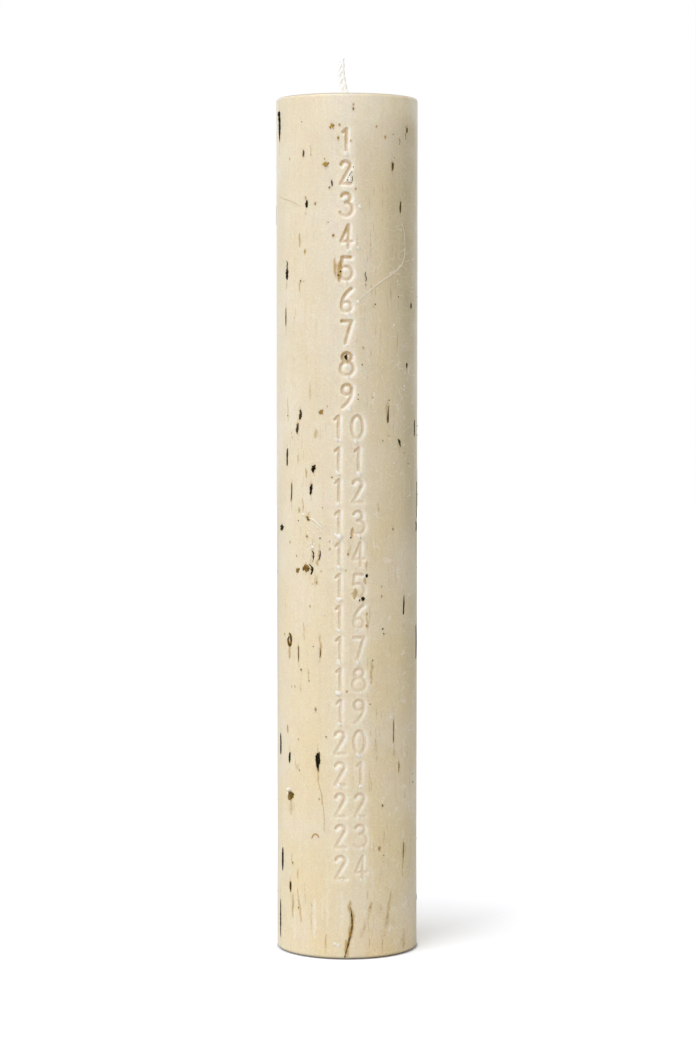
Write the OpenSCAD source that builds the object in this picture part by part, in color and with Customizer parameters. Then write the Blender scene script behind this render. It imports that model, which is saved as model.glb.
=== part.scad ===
// Calendar candle: a wax pillar with the days 1 to 24 pressed into it, burnt down by one number a day.
// The origin is the middle of the foot, +Z is up, and the numerals face -Y. Everything is in millimetres.

/* [Pillar] */
// Diameter of the wax pillar
pillar_d = 50; // [46:1:60]
// Height of the wax, without the wick
pillar_h = 302; // [290:1:340]
// Radius of the rounded top edge
top_round = 1.2; // [0.6:0.1:2]
// Radius of the rounded foot edge
foot_round = 1.6; // [0.6:0.1:2.4]
// How far the top sinks towards the wick, where the wax shrank as it set
top_sink = 0.5; // [0.2:0.1:1]

/* [Numerals] */
// Height of a numeral over its strokes
numeral_h = 9; // [8:0.1:9.6]
// Width of a numeral over its strokes
numeral_w = 4.7; // [4:0.1:5.4]
// Width of one pressed stroke
stroke_w = 1.3; // [1:0.1:1.5]
// Depth of the pressing of the days 1 to 9, at the middle of a numeral
one_depth = 0.75; // [0.4:0.05:0.9]
// Depth of the pressing of the days 10 to 24, whose two stamps share the push
two_depth = 0.55; // [0.3:0.05:0.9]
// Distance from one day to the next
day_pitch = 11; // [10.6:0.1:11.2]
// Height of the middle of the last day, 24, over the foot
last_day_z = 32.5; // [24:0.5:34]
// Distance between the two figures of a number
figure_gap = 7; // [6.2:0.1:8]
// Lean of the column of numerals off the vertical
column_lean = 0.4; // [0:0.1:1]

/* [Wick] */
// Length of wick that stands out of the wax
wick_out = 14.4; // [8:0.1:20]
// How far the free end of the wick bends to the side
wick_bend = 1.9; // [0:0.1:4]
// Length in which each strand of the plait comes back to its place
plait_pitch = 7.5; // [7.5:0.5:12]
// Radius of one cotton strand
strand_r = 0.34; // [0.24:0.01:0.34]

/* [Wick clip] */
// Diameter of the tin disc under the wick
clip_d = 14; // [12:1:20]
// Height of the clip's neck over its disc
clip_neck = 4; // [3:0.5:8]
// Thickness of the tin
clip_t = 0.3; // [0.2:0.05:0.5]

/* [Plant pieces] */
// How far a plant piece stands out of the wax
proud = 0.1; // [0.04:0.01:0.2]
// Number of slivers on the back half
back_count = 24; // [10:1:30]

/* [Hidden] */
pillar_r = pillar_d / 2;
days = 24;
plait_wide = 0.78;
plait_deep = 0.5;
wick_gap = 0.03;
bore_r = plait_wide + strand_r + wick_gap;
plait_foot = pillar_h - 10;
clip_lift = 0.2;
clip_gap = 0.16;
collar_r = 2.6;
collar_h = 0.6;
strand_names = ["wick_strand_a", "wick_strand_b", "wick_strand_c"];
clip_top = clip_lift + clip_t;
line_w = numeral_w - stroke_w;
line_h = numeral_h - stroke_w;
lean_zero_z = last_day_z + 18 * day_pitch;

// Dark slivers on the front half: turn from the numerals, height of the middle, length, width, lean
slivers = [
  [-71, 291, 11, 0.9, 1], [-37, 281.5, 2.6, 0.8, 0], [-12, 271, 2.6, 0.6, -14], [-34, 264, 3.2, 0.9, 0],
  [57, 290, 2.2, 0.6, 0], [39, 277, 3.2, 0.8, -6], [48, 263, 4.6, 0.6, 0], [-57, 240, 4.6, 0.9, 0],
  [-59, 225, 7.8, 0.4, 0], [64, 229, 2.4, 0.6, 0], [57, 208, 2.2, 0.6, 0], [0, 211, 2.4, 0.8, 0],
  [-41, 191, 4.2, 1.1, 4], [-44, 186, 4.4, 0.8, 4], [35, 191, 7, 0.7, 3], [72, 186, 7, 0.5, 0],
  [47, 181, 4, 0.6, -25], [-57, 176, 7, 0.7, 0], [-28, 172, 3.2, 1.4, 0], [-30, 165, 4.4, 1, 8],
  [-51, 164, 7, 0.5, 0], [-67, 151, 2.2, 1.1, 0], [-29, 142, 4, 0.5, -8], [-23, 142, 4, 0.5, 12],
  [-31, 137, 4.6, 0.7, -12], [16, 135, 1.5, 1, 0], [13, 127, 1.5, 1, 0], [53, 124, 8.2, 0.5, 4],
  [-43, 107, 6.4, 0.5, 0], [-22, 108, 3.6, 0.6, 0], [-70, 74, 9, 0.6, -3], [-54, 70, 4.4, 0.7, 2],
  [-24, 69.5, 7.8, 1.5, 0], [41, 80, 9, 0.5, 0], [47, 67, 4.4, 0.6, 0], [53, 37, 7, 0.4, 4],
  [-66, 33, 10, 0.6, 0], [-53, 24, 4.6, 0.9, -6], [-71, 12, 15, 0.4, 0]
];

// Brown bark chips and seed husks, in the same terms
chips = [
  [-17, 277.5, 2.1, 2.2, 20], [-12, 290.5, 1.9, 1.8, 40], [-33, 155, 1.6, 1.9, 60],
  [-35.5, 137.5, 2.6, 2.2, 30], [-44, 136.5, 1.6, 1.6, 0], [-54, 112, 3, 2.4, -20],
  [-53, 56.5, 3.2, 3, 15], [-21, 192, 1.8, 1.6, 0]
];

// The dry stalk at the foot: turn from the numerals and height of each point along it
stalk = [[2.2, 20], [3.4, 17], [4.2, 13.6], [3.7, 10.6], [2.3, 8], [0.8, 5.2], [-1, 2.4]];
stalk_r = 0.5;

function numbered(word, count) = [for (i = [1:count]) str(word, i < 10 ? "_0" : "_", i)];
sliver_names = numbered("bark_sliver", len(slivers));
chip_names = numbered("seed_husk", len(chips));

// A quarter circle of points round [x, y], from angle a to angle b
function arc(x, y, r, a, b, steps = 8) =
  [for (i = [0:steps]) let (t = a + (b - a) * i / steps) [x + r * cos(t), y + r * sin(t)]];

// The outline that is turned into the pillar, with the sunk top and the low collar of wax at the wick
function pillar_outline() = concat(
  [[0, 0]],
  arc(pillar_r - foot_round, foot_round, foot_round, -90, 0),
  arc(pillar_r - top_round, pillar_h - top_round, top_round, 0, 90),
  [for (i = [1:6]) let (k = i / 6)
    [(pillar_r - top_round) * (1 - k) + collar_r * k, pillar_h - top_sink * (1 - cos(180 * k)) / 2]],
  [[collar_r * 0.7, pillar_h - top_sink + collar_h * 0.4], [bore_r + 0.1, pillar_h - top_sink + collar_h]],
  [[0, pillar_h - top_sink + collar_h]]
);

// The centre lines of a figure's strokes. A stroke is a list of points, and it is closed if it ends
// where it began. The bowls of a figure are arcs in a box line_w wide and line_h high
low_r = line_w / 2;
low_y = low_r;
top_bowl_r = line_w * 0.46;
low_bowl_r = (line_h - 2 * top_bowl_r) / 2;
stem_r = line_h * 0.95;
stem_x = 0.8;
bar_y = line_h * 0.28;
belly_y = line_h * 0.56;
two_turn = atan2(top_bowl_r - line_h, -low_r) + acos(top_bowl_r / norm([line_h - top_bowl_r, low_r]));

function ring(y, r) = arc(0, y, r, 0, 360, 20);
function six() = [
  ring(low_y, low_r),
  [for (i = [0:5]) let (t = 178 - i * 11) [stem_r - low_r + stem_r * cos(t), low_y + stem_r * sin(t)]]
];
function half_turn(strokes) = [for (s = strokes) [for (p = s) [-p[0], line_h - p[1]]]];
function figure(n) =
  n == 0 ? [[for (p = arc(0, 0, 1, 0, 360, 24)) [low_r * p[0], line_h * (1 + p[1]) / 2]]]
  : n == 1 ? [[[0.4, 0], [0.4, line_h]], [[0.4, line_h], [-0.6, line_h - 1.3]]]
  : n == 2 ? [concat(arc(0, line_h - top_bowl_r, top_bowl_r, 165, two_turn, 9), [[-low_r, 0]]),
    [[-low_r, 0], [low_r, 0]]]
  : n == 3 ? [arc(0, line_h - top_bowl_r, top_bowl_r, 155, -90, 10),
    arc(0, low_bowl_r, low_bowl_r, 90, -150, 10)]
  : n == 4 ? [[[stem_x, line_h], [-low_r, bar_y]], [[-low_r, bar_y], [low_r + 0.3, bar_y]],
    [[stem_x, line_h], [stem_x, 0]]]
  : n == 5 ? [[[low_r - 0.2, line_h], [0.3 - low_r, line_h]], [[0.3 - low_r, line_h], [0.1 - low_r, belly_y]],
    concat([[0.1 - low_r, belly_y]], arc(-0.2, low_bowl_r, low_bowl_r, 110, -145, 10))]
  : n == 6 ? six()
  : n == 7 ? [[[-low_r, line_h], [low_r, line_h]], [[low_r, line_h], [-0.5, 0]]]
  : n == 8 ? [ring(line_h - top_bowl_r, top_bowl_r), ring(low_bowl_r, low_bowl_r)]
  : half_turn(six());

function unit(v) = v / norm(v);
function side_of(p, q) = let (d = unit(q - p)) [-d[1], d[0]];

// The side direction at each point of a stroke, halfway between its neighbours'
function stroke_sides(path) = let (n = len(path) - 1, closed = norm(path[0] - path[n]) < 0.001)
  [for (i = [0:n])
    let (before = i > 0 ? side_of(path[i - 1], path[i]) : closed ? side_of(path[n - 1], path[n]) : undef,
      after = i < n ? side_of(path[i], path[i + 1]) : closed ? side_of(path[0], path[1]) : undef)
    is_undef(before) ? after : is_undef(after) ? before : unit(before + after)];

// One stroke as a flat shape: a ribbon with round ends, or a closed band
module stroke(path) {
  half = stroke_w / 2;
  n = len(path) - 1;
  sides = stroke_sides(path);
  outer = [for (i = [0:n]) path[i] + half * sides[i]];
  inner = [for (i = [0:n]) path[i] - half * sides[i]];
  if (norm(path[0] - path[n]) < 0.001) {
    polygon(concat([for (i = [0:n - 1]) outer[i]], [for (i = [0:n - 1]) inner[i]]),
      [[for (i = [0:n - 1]) i], [for (i = [0:n - 1]) i + n]]);
  } else {
    first = atan2(sides[0][1], sides[0][0]);
    last = atan2(sides[n][1], sides[n][0]);
    polygon(concat(outer, arc(path[n][0], path[n][1], half, last - 30, last - 150, 4),
      [for (i = [n:-1:0]) inner[i]], arc(path[0][0], path[0][1], half, first - 210, first - 330, 4)));
  }
}

// One figure, as the tool that presses it: it stands in front of the wax and reaches some depth into it
module figure_tool(n, across, z, depth) {
  rotate([0, 0, asin(across / pillar_r)])
    translate([0, depth - pillar_r, z - line_h / 2])
      rotate([90, 0, 0])
        linear_extrude(depth + 1)
          for (path = figure(n)) stroke(path);
}

// All the figures from 1 to 24, with the column leaning a little
module number_tools() {
  for (day = [1:days]) {
    z = last_day_z + (days - day) * day_pitch;
    middle = (lean_zero_z - z) * tan(column_lean);
    if (day < 10) {
      figure_tool(day, middle, z, one_depth);
    } else {
      figure_tool(floor(day / 10), middle - figure_gap / 2, z, two_depth);
      figure_tool(day % 10, middle + figure_gap / 2, z, two_depth);
    }
  }
}

// The triangles between rings of points, closed by a point at each end
function skin(rings, sides) = concat(
  [for (s = [0:sides - 1]) [0, 1 + (s + 1) % sides, 1 + s]],
  [for (r = [0:rings - 2], s = [0:sides - 1], half = [0, 1])
    let (a = 1 + r * sides + s, b = 1 + r * sides + (s + 1) % sides)
    half == 0 ? [a, b, b + sides] : [a, b + sides, a + sides]],
  [for (s = [0:sides - 1]) let (a = 1 + (rings - 1) * sides) [1 + rings * sides, a + s, a + (s + 1) % sides]]
);

// A splinter along Z, thin at both ends and a little uneven
module splinter(length, width, thick) {
  rings = 3;
  sides = 5;
  points = concat(
    [[0, 0, -length / 2]],
    [for (i = [1:rings], s = [0:sides - 1])
      let (k = i / (rings + 1), swell = pow(sin(180 * k), 0.7), drift = 0.12 * width * sin(i * 137),
        t = s * 360 / sides)
      [drift + swell * width / 2 * cos(t), swell * thick / 2 * sin(t), length * (k - 0.5)]],
    [[0, 0, length / 2]]
  );
  polyhedron(points, skin(rings, sides));
}

// A splinter set into the wax, from one row of the lists of plant pieces
module plant_piece(row) {
  thick = 0.35 + 0.45 * row[3];
  rotate([0, 0, row[0]])
    translate([0, -(pillar_r + proud - thick / 2), row[1]])
      rotate([0, row[4], 0])
        splinter(row[2], row[3], thick);
}

function part_of_one(x) = x - floor(x);

// Slivers on the back half, spread by the golden ratio
module back_piece(i) {
  turn = 86 + 188 * part_of_one(i * 0.618);
  z = 12 + (pillar_h - 24) * (i + 0.5) / back_count;
  length = 2.5 + 6 * part_of_one(i * 0.377);
  width = 0.5 + 0.9 * part_of_one(i * 0.731);
  plant_piece([turn, z, length, width, 6 * sin(i * 97)]);
}

module back_slivers() {
  color([0.16, 0.14, 0.1])
    for (i = [0:back_count - 1]) back_piece(i);
}

// The dry stalk, a thin round rod that follows the wax and thins towards both ends
module dry_stalk() {
  sides = 6;
  last = len(stalk) - 1;
  function centre(i) = let (r = pillar_r + proud - stalk_r)
    [r * sin(stalk[i][0]), -r * cos(stalk[i][0]), stalk[i][1]];
  points = concat(
    [centre(0) + [0, 0, 0.8]],
    [for (i = [0:last], s = [0:sides - 1])
      let (r = stalk_r * (0.45 + 0.55 * sin(180 * (i + 0.5) / (last + 1))))
      centre(i) + [r * cos(60 * s), -r * sin(60 * s), 0]],
    [centre(last) - [0, 0, 0.8]]
  );
  color([0.36, 0.24, 0.11])
    polyhedron(points, skin(last + 1, sides));
}

module bark_sliver(i) {
  color([0.13, 0.12, 0.09])
    plant_piece(slivers[i]);
}

module seed_husk(i) {
  color([0.46, 0.31, 0.14])
    plant_piece(chips[i]);
}

// The tin disc and the neck that holds the plait
module clip_outline() {
  neck_r = bore_r + clip_t;
  polygon([
    [bore_r, clip_lift], [clip_d / 2, clip_lift], [clip_d / 2, clip_top], [neck_r + 0.5, clip_top],
    [neck_r, clip_top + 0.5], [neck_r, clip_top + clip_neck], [bore_r, clip_top + clip_neck]
  ]);
}

module wick_clip() {
  color([0.72, 0.72, 0.7])
    rotate_extrude($fn = 96) clip_outline();
}

module wax_pillar() {
  color([0.91, 0.85, 0.73])
    difference() {
      rotate_extrude($fn = 180) polygon(pillar_outline());
      translate([0, 0, -1]) cylinder(h = pillar_h + 3, r = bore_r, $fn = 64);
      translate([0, 0, -1]) cylinder(h = clip_top + 1, r = clip_d / 2 + clip_gap, $fn = 96);
      rotate_extrude($fn = 96) clip_outline();
      number_tools();
      for (row = slivers) plant_piece(row);
      for (row = chips) plant_piece(row);
      for (i = [0:back_count - 1]) back_piece(i);
      dry_stalk();
    }
}

// How far the wick's middle has bent to the side at height z
function bend_at(z) = -wick_bend * sin(90 * max(0, min(1, (z - pillar_h) / 10)));

// The plait closes up over the last few millimetres of the wick
function slim_at(z) = 1 - 0.25 * max(0, min(1, (z - pillar_h - wick_out + 5) / 5));

// The middle of strand k at height z: a figure of eight, seen from above, that runs up the free end
// of the wick. Deeper in the wax the strands lie straight, side by side
function strand_at(k, z) = let (t = 360 * max(0, z - plait_foot) / plait_pitch + 120 * k)
  [bend_at(z) + slim_at(z) * plait_wide * sin(t), slim_at(z) * plait_deep * sin(2 * t), z];

module wick_strand(k) {
  sides = 6;
  top = pillar_h + wick_out - 0.4 * k;
  rings = ceil((top - plait_foot) / plait_pitch * 16);
  heights = concat([clip_lift], [for (i = [0:rings]) plait_foot + (top - plait_foot) * i / rings]);
  points = concat(
    [strand_at(k, clip_lift)],
    [for (z = heights)
      let (along = unit(strand_at(k, z + 0.05) - strand_at(k, z - 0.05)),
        across = unit(cross([0, 1, 0], along)), deep = cross(along, across), r = strand_r * slim_at(z))
      for (s = [0:sides - 1]) strand_at(k, z) + r * (cos(60 * s) * across + sin(60 * s) * deep)],
    [strand_at(k, top) + [0, 0, 0.3]]
  );
  color([0.95, 0.94, 0.9])
    polyhedron(points, skin(len(heights), sides));
}

wax_pillar();
wick_clip();
for (k = [0:2]) wick_strand(k);
for (i = [0:len(slivers) - 1]) bark_sliver(i);
for (i = [0:len(chips) - 1]) seed_husk(i);
dry_stalk();
back_slivers();
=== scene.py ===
# %% [markdown]
# # A calendar candle, dressed round its solid model
#
# The object is a tall cream pillar candle. The days 1 to 24 are pressed into its front, one row a day,
# and slivers of bark, seed husks and a dry stalk are cast into the wax. This notebook loads the solid
# model as a fixed frame, and then makes each piece again with the finish that the real one has: pressed
# and streaked wax, torn bark, twisted cotton. Everything is in metres, +Z is up and the numerals face -Y.

# %% Load the frame
import math

import bmesh
import bpy
import numpy as np
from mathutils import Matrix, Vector, kdtree, noise


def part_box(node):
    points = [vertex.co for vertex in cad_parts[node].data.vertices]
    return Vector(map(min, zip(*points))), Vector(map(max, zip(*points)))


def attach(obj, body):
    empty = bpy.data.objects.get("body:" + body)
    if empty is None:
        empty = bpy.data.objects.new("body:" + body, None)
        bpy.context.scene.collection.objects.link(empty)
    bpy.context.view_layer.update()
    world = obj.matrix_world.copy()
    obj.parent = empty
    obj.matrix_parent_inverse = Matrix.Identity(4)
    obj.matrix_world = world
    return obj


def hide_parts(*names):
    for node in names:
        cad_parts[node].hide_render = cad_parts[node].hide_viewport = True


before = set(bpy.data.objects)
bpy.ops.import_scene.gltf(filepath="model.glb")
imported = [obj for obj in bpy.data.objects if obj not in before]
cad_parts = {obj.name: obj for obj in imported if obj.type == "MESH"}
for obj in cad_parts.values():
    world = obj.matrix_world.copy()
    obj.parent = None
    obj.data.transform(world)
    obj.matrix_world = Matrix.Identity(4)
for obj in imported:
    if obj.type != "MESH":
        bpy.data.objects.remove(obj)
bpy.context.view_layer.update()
MM = 0.001
wax_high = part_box("wax_pillar")[1]
WAX_R = wax_high.x
print("frame:", len(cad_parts), "nodes, wax radius in mm:", round(WAX_R / MM, 2))

# %% [markdown]
# The camera stands where the photographer's did. The curve of the foot and the straight line of the top
# edge give its height and distance: it looks slightly down from two thirds of the candle's height, a
# metre away, through a long lens. The candle's axis is a hair left of the picture's middle.

# %% Place the camera
CAMERA_BACK = 0.9897
CAMERA_UP = 0.2101
CAMERA_ASIDE = 0.00036
CAMERA_PITCH = math.radians(3.40)
LONG_SIDE = 36.0
LENS = 95.36


def placed(name, data):
    """A new object of the scene for some data."""
    made = bpy.data.objects.new(name, data)
    bpy.context.scene.collection.objects.link(made)
    return made


camera = placed("camera", bpy.data.cameras.new("camera"))
camera.location = (CAMERA_ASIDE, -CAMERA_BACK, CAMERA_UP)
camera.rotation_euler = (math.pi / 2 - CAMERA_PITCH, 0, 0)
camera.data.sensor_width = LONG_SIDE
camera.data.lens = LENS
camera.data.clip_start = 0.01
bpy.context.scene.camera = camera
print("camera: lens", LENS, "mm on a", LONG_SIDE, "mm long side")

# %% [markdown]
# Node trees read best as arithmetic. `Wire` wraps one socket, and its operators add Math nodes, so a mask
# can be written as `1 - streaks * 0.4`. `Board` wraps a tree. Its method `node` makes any node: the
# node's settings are set first, and then its sockets, by name or by number. The short methods after it
# make the nodes that come up again and again. The same classes serve materials and Geometry Nodes.


# %% A small language for node trees
class Wire:
    """One output socket, with the operators that Math nodes stand for."""

    def __init__(self, board, socket):
        self.board = board
        self.socket = socket

    def __add__(self, other):
        return self.board.math("ADD", self, other)

    def __radd__(self, other):
        return self.board.math("ADD", other, self)

    def __sub__(self, other):
        return self.board.math("SUBTRACT", self, other)

    def __rsub__(self, other):
        return self.board.math("SUBTRACT", other, self)

    def __mul__(self, other):
        return self.board.math("MULTIPLY", self, other)

    def __rmul__(self, other):
        return self.board.math("MULTIPLY", other, self)

    def __truediv__(self, other):
        return self.board.math("DIVIDE", self, other)


class Board:
    """A node tree that is being wired up."""

    def __init__(self, tree):
        self.tree = tree

    def put(self, socket, value):
        if isinstance(value, Wire):
            self.tree.links.new(value.socket, socket)
        elif socket.type == "RGBA":
            socket.default_value = (*value[:3], 1.0)
        else:
            socket.default_value = value

    def node(self, kind, sockets=None, out=0, stops=None, **settings):
        made = self.tree.nodes.new(kind)
        for name, value in settings.items():
            setattr(made, name, value)
        for place, colour in stops or []:
            ends = made.color_ramp.elements
            given = {0: ends[0], 1: ends[-1]}
            stop = given[place] if place in given else ends.new(place)
            stop.color = (*colour, 1.0)
        for name, value in (sockets or {}).items():
            self.put(made.inputs[name], value)
        return Wire(self, made.outputs[out])

    def math(self, operation, left, right=None):
        sockets = {0: left} if right is None else {0: left, 1: right}
        return self.node("ShaderNodeMath", sockets, operation=operation)

    def vector(self, operation, first, second=None, out=0):
        sockets = {0: first} if second is None else {0: first, 1: second}
        return self.node("ShaderNodeVectorMath", sockets, out=out, operation=operation)

    def scaled(self, vector, factor):
        return self.node("ShaderNodeVectorMath", {0: vector, "Scale": factor}, operation="SCALE")

    def noise(self, place, scale, detail=2.0, out="Fac"):
        sockets = {"Vector": place, "Scale": scale, "Detail": detail}
        return self.node("ShaderNodeTexNoise", sockets, out=out)

    def mix(self, factor, first, second):
        return self.node("ShaderNodeMix", {0: factor, 6: first, 7: second}, out=2, data_type="RGBA")

    def coated(self, colour, coats):
        """A colour with coats, pairs of a factor and a colour, mixed over it one after the other."""
        for factor, coat in coats:
            colour = self.mix(factor, colour, coat)
        return colour

    def step(self, value, low, high, rise=True):
        """0 to 1 as value goes from low to high, with soft ends, or 1 to 0."""
        start, end = (0.0, 1.0) if rise else (1.0, 0.0)
        sockets = {"Value": value, "From Min": low, "From Max": high, "To Min": start, "To Max": end}
        return self.node("ShaderNodeMapRange", sockets, interpolation_type="SMOOTHSTEP")

    def from_axis(self, place):
        """The way from the upright axis to a place, and its length."""
        flat = self.vector("MULTIPLY", place, (1, 1, 0))
        return flat, self.vector("LENGTH", flat, out="Value")


# %% Materials that read the place on the object
class Finish(Board):
    """The board of a material, with its name, its object coordinates and the shader its look is set on."""

    def __init__(self, name):
        self.material = bpy.data.materials.new(name)
        self.material.use_nodes = True
        super().__init__(self.material.node_tree)
        self.shader = next(n for n in self.tree.nodes if n.type == "BSDF_PRINCIPLED").inputs
        self.place = self.node("ShaderNodeTexCoord", out="Object")

    def look(self, **sockets):
        """Sets or links the shader's sockets, named with _ for each space."""
        for name, value in sockets.items():
            self.put(self.shader[name.replace("_", " ")], value)

    def bump(self, height, strength, distance):
        sockets = {"Height": height, "Strength": strength, "Distance": distance}
        self.look(Normal=self.node("ShaderNodeBump", sockets, out="Normal"))

    def stretched(self, scale):
        return self.node("ShaderNodeMapping", {"Vector": self.place, "Scale": scale})

    def number(self, name):
        """A number that the points of the mesh carry."""
        return self.node("ShaderNodeAttribute", out="Fac", attribute_name=name)


# %% [markdown]
# Plain meshes come from lists of points and faces. `plain_object` also hands the mesh its material and
# any numbers that its points carry, such as how brown a sliver is, because a material can read those as
# attributes.


# %% Make a mesh object
def note(mesh, name, values):
    """Stores a number for each point of a mesh."""
    mesh.attributes.new(name, "FLOAT", "POINT").data.foreach_set("value", np.asarray(values, np.float32))


def plain_object(name, points, faces, material, **numbers):
    mesh = bpy.data.meshes.new(name)
    mesh.from_pydata([tuple(p) for p in points], [], faces)
    for key, values in numbers.items():
        note(mesh, key, values)
    mesh.materials.append(material)
    mesh.shade_smooth()
    return placed(name, mesh)


def on_wax(turn, z, out=0.0):
    """The point of the wax at turn degrees from the numerals and at height z, or out of its surface."""
    a = math.radians(turn)
    return Vector(((WAX_R + out) * math.sin(a), -(WAX_R + out) * math.cos(a), z))


# %% [markdown]
# ## The wax's colour
#
# Candle wax is a cream body that light enters, with a soft gloss on it. Its colour isn't even: it is
# warmer at the foot, plant oils have run out of the slivers as brown stains and down the mould as faint
# upright streaks, and the pressed column is paler. Light and shade are painted into the colour as well:
# shade up the right side and in honey on the grooves' shaded walls, white on their lit walls, a glow under
# the top rim and shade where the candle stands. A picture could hold all that, but mixing coats over one
# another keeps every cause apart.
# Coats that belong to a height or a side read the place. Streaks and frost are noise, stretched along Z
# where they hang. Coats that belong to a figure or a sliver read numbers that the pillar's points will
# carry.

# %% Colours of the wax, and how far Z is squeezed for its upright noises
WAX = (0.815, 0.71, 0.51)
FOOT_WAX = (0.885, 0.735, 0.455)
# painted shade up the right side, also used for a darker strip at the left edge
SHADE_WAX = (0.74, 0.645, 0.435)
# painted light: the glow below the top rim
RIM_GLOW_WAX = (1.0, 0.88, 0.625)
PRESSED_WAX = (0.955, 0.828, 0.61)
# painted shade on the right flank
FLANK_SHADE_WAX = (0.595, 0.497, 0.282)
SIDE_WAX = (0.865, 0.71, 0.385)
WARM_FOOT_WAX = (0.87, 0.655, 0.295)
PALE_WAX = (0.895, 0.803, 0.655)
WARM_WAX = (0.81, 0.655, 0.42)
# white wax for frost, hairs, bloom and crumbs, and painted light on the grooves' lit walls and the blisters
WHITE_AND_LIT_WAX = (1.0, 0.91, 0.79)
CRUMB_WAX = (0.92, 0.87, 0.76)
# painted shade: honey on the grooves' walls that the lamp doesn't reach
SHADE_HONEY = (0.61, 0.39, 0.115)
STAIN = (0.51, 0.32, 0.08)
THREAD = (0.44, 0.31, 0.12)
UPRIGHT = 0.07
DRAWN = 0.11


class WaxFinish(Finish):
    """A finish with the measures and the noises that several coats of the wax share."""

    def __init__(self, name):
        super().__init__(name)
        self.height = self.node("ShaderNodeSeparateXYZ", {0: self.place}, out="Z")
        self.aside = self.node("ShaderNodeSeparateXYZ", {0: self.place}, out="X")
        self.mottle = self.grit(5, 4.0)
        self.grain = self.grit(0.5)
        self.crumbs = self.grit(0.9, 3.0)
        self.frost = self.grit(0.7, 3.0)
        self.hairlines = self.grit(0.8, squeeze=UPRIGHT)

    def grit(self, size_mm, detail=2.0, squeeze=None):
        """Noise of a size, whose spots a small squeeze of Z draws out to upright streaks."""
        place = self.stretched((1, 1, squeeze)) if squeeze else self.place
        return self.noise(place, 1 / (size_mm * MM), detail)

    def up(self, low, high, rise=True):
        """0 to 1 from one height in millimetres to another."""
        return self.step(self.height, low * MM, high * MM, rise)

    def right(self, low, high, rise=True):
        """0 to 1 from one distance to the right of the axis in millimetres to another."""
        return self.step(self.aside, low * MM, high * MM, rise)


print("wax: ground colour", WAX)


# %% Coats that belong to a height or a side
def ground_coats(wax):
    # painted light: a glow below the top rim, as if light came through the wax there
    rim_glow = wax.up(284, 299) * wax.right(-18, 8)
    # painted shade: the right flank, which faces away from the lamps, is darker, most of all higher up
    flank_shade = wax.right(17, 23.5) * (0.4 + 0.6 * wax.up(60, 200))
    flank_shade = flank_shade + 0.5 * wax.right(11, 17) * wax.up(215, 245)
    # painted shade: the right side is darker from about 130 mm up; the same colour darkens a strip at the
    # left edge
    right_shade = wax.up(130, 200) * wax.right(12, 23)
    left_edge = wax.right(-24, -20, rise=False) * wax.up(180, 240)
    warm_foot = wax.up(4, 20, rise=False) * wax.right(-4, 8)
    pale_foot = wax.up(6, 22, rise=False) * wax.right(-20, -8, rise=False)
    return [
        (wax.up(50, 230, rise=False), FOOT_WAX),
        (wax.right(6, 12) * 0.4, SIDE_WAX),
        (wax.math("MAXIMUM", right_shade, left_edge * 0.6), SHADE_WAX),
        (rim_glow, RIM_GLOW_WAX),
        (flank_shade * (1 - 0.8 * rim_glow), FLANK_SHADE_WAX),
        (warm_foot * 0.75, WARM_FOOT_WAX),
        (pale_foot * 0.3, PALE_WAX),
    ]


# %% Coats that the casting left: clouds, streaks, frost, brown threads and pale hairs
def cast_coats(wax):
    frosted = wax.up(10, 60, rise=False) * wax.right(2, 15)
    threads = wax.step(wax.grit(0.75, squeeze=DRAWN), 0.61, 0.74)
    threads = threads * wax.step(wax.grit(9, squeeze=UPRIGHT), 0.46, 0.6)
    hair = wax.step(wax.math("ABSOLUTE", wax.grit(5, 1.0) - 0.5), 0.004, 0.016, rise=False)
    hair = hair * wax.step(wax.grit(4), 0.42, 0.55) * (0.3 + 0.7 * wax.up(245, 275, rise=False))
    return [
        (wax.step(wax.grit(24), 0.35, 0.7) * 0.5, PALE_WAX),
        (wax.step(wax.mottle, 0.42, 0.75) * 0.28, WARM_WAX),
        (wax.step(wax.grit(2.6, 3.0, squeeze=UPRIGHT), 0.56, 0.76) * 0.4, WARM_WAX),
        (wax.step(wax.frost, 0.56, 0.7) * (0.12 + 0.3 * frosted), WHITE_AND_LIT_WAX),
        (wax.step(wax.grit(0.38), 0.62, 0.7) * (0.08 + 0.6 * frosted), WHITE_AND_LIT_WAX),
        (threads * wax.up(265, 290, rise=False) * 0.4, THREAD),
        (hair * (0.14 + 0.36 * wax.right(2, 12)), WHITE_AND_LIT_WAX),
    ]


# %% Coats of the stamp, a pale column and white rims, and painted light and shade: white lit walls, honey shade
def pressed_coats(wax):
    dusty = 0.5 + 0.5 * wax.step(wax.crumbs, 0.4, 0.6)
    ragged = (wax.crumbs - 0.5) * 0.35
    edge, press = wax.number("edge"), wax.number("press")
    ring = wax.step(edge, 0.6, 0.85) * wax.step(edge, 1.1, 1.7, rise=False)
    # painted light: white on each groove's lower right wall, which the lamp lights
    painted_light = wax.step(wax.number("glare") + ragged * 1.5, 0.55, 1.35, rise=False)
    painted_light = painted_light * wax.step(press, 0, 0.8)
    # painted shade: honey on each groove's upper left wall, which the lamp doesn't reach
    painted_shade = wax.step(wax.number("gloom") + ragged, 0.3, 0.8, rise=False) * press
    painted_shade = painted_shade * (0.6 + 0.4 * wax.step(wax.grit(1.8), 0.35, 0.6))
    return [
        (wax.number("veil") * dusty, PALE_WAX),
        (wax.number("trough") * dusty, PRESSED_WAX),
        (ring * press * dusty * 0.5, WHITE_AND_LIT_WAX),
        (painted_light * 0.95, WHITE_AND_LIT_WAX),
        (painted_shade * 0.86, SHADE_HONEY),
    ]


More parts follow.
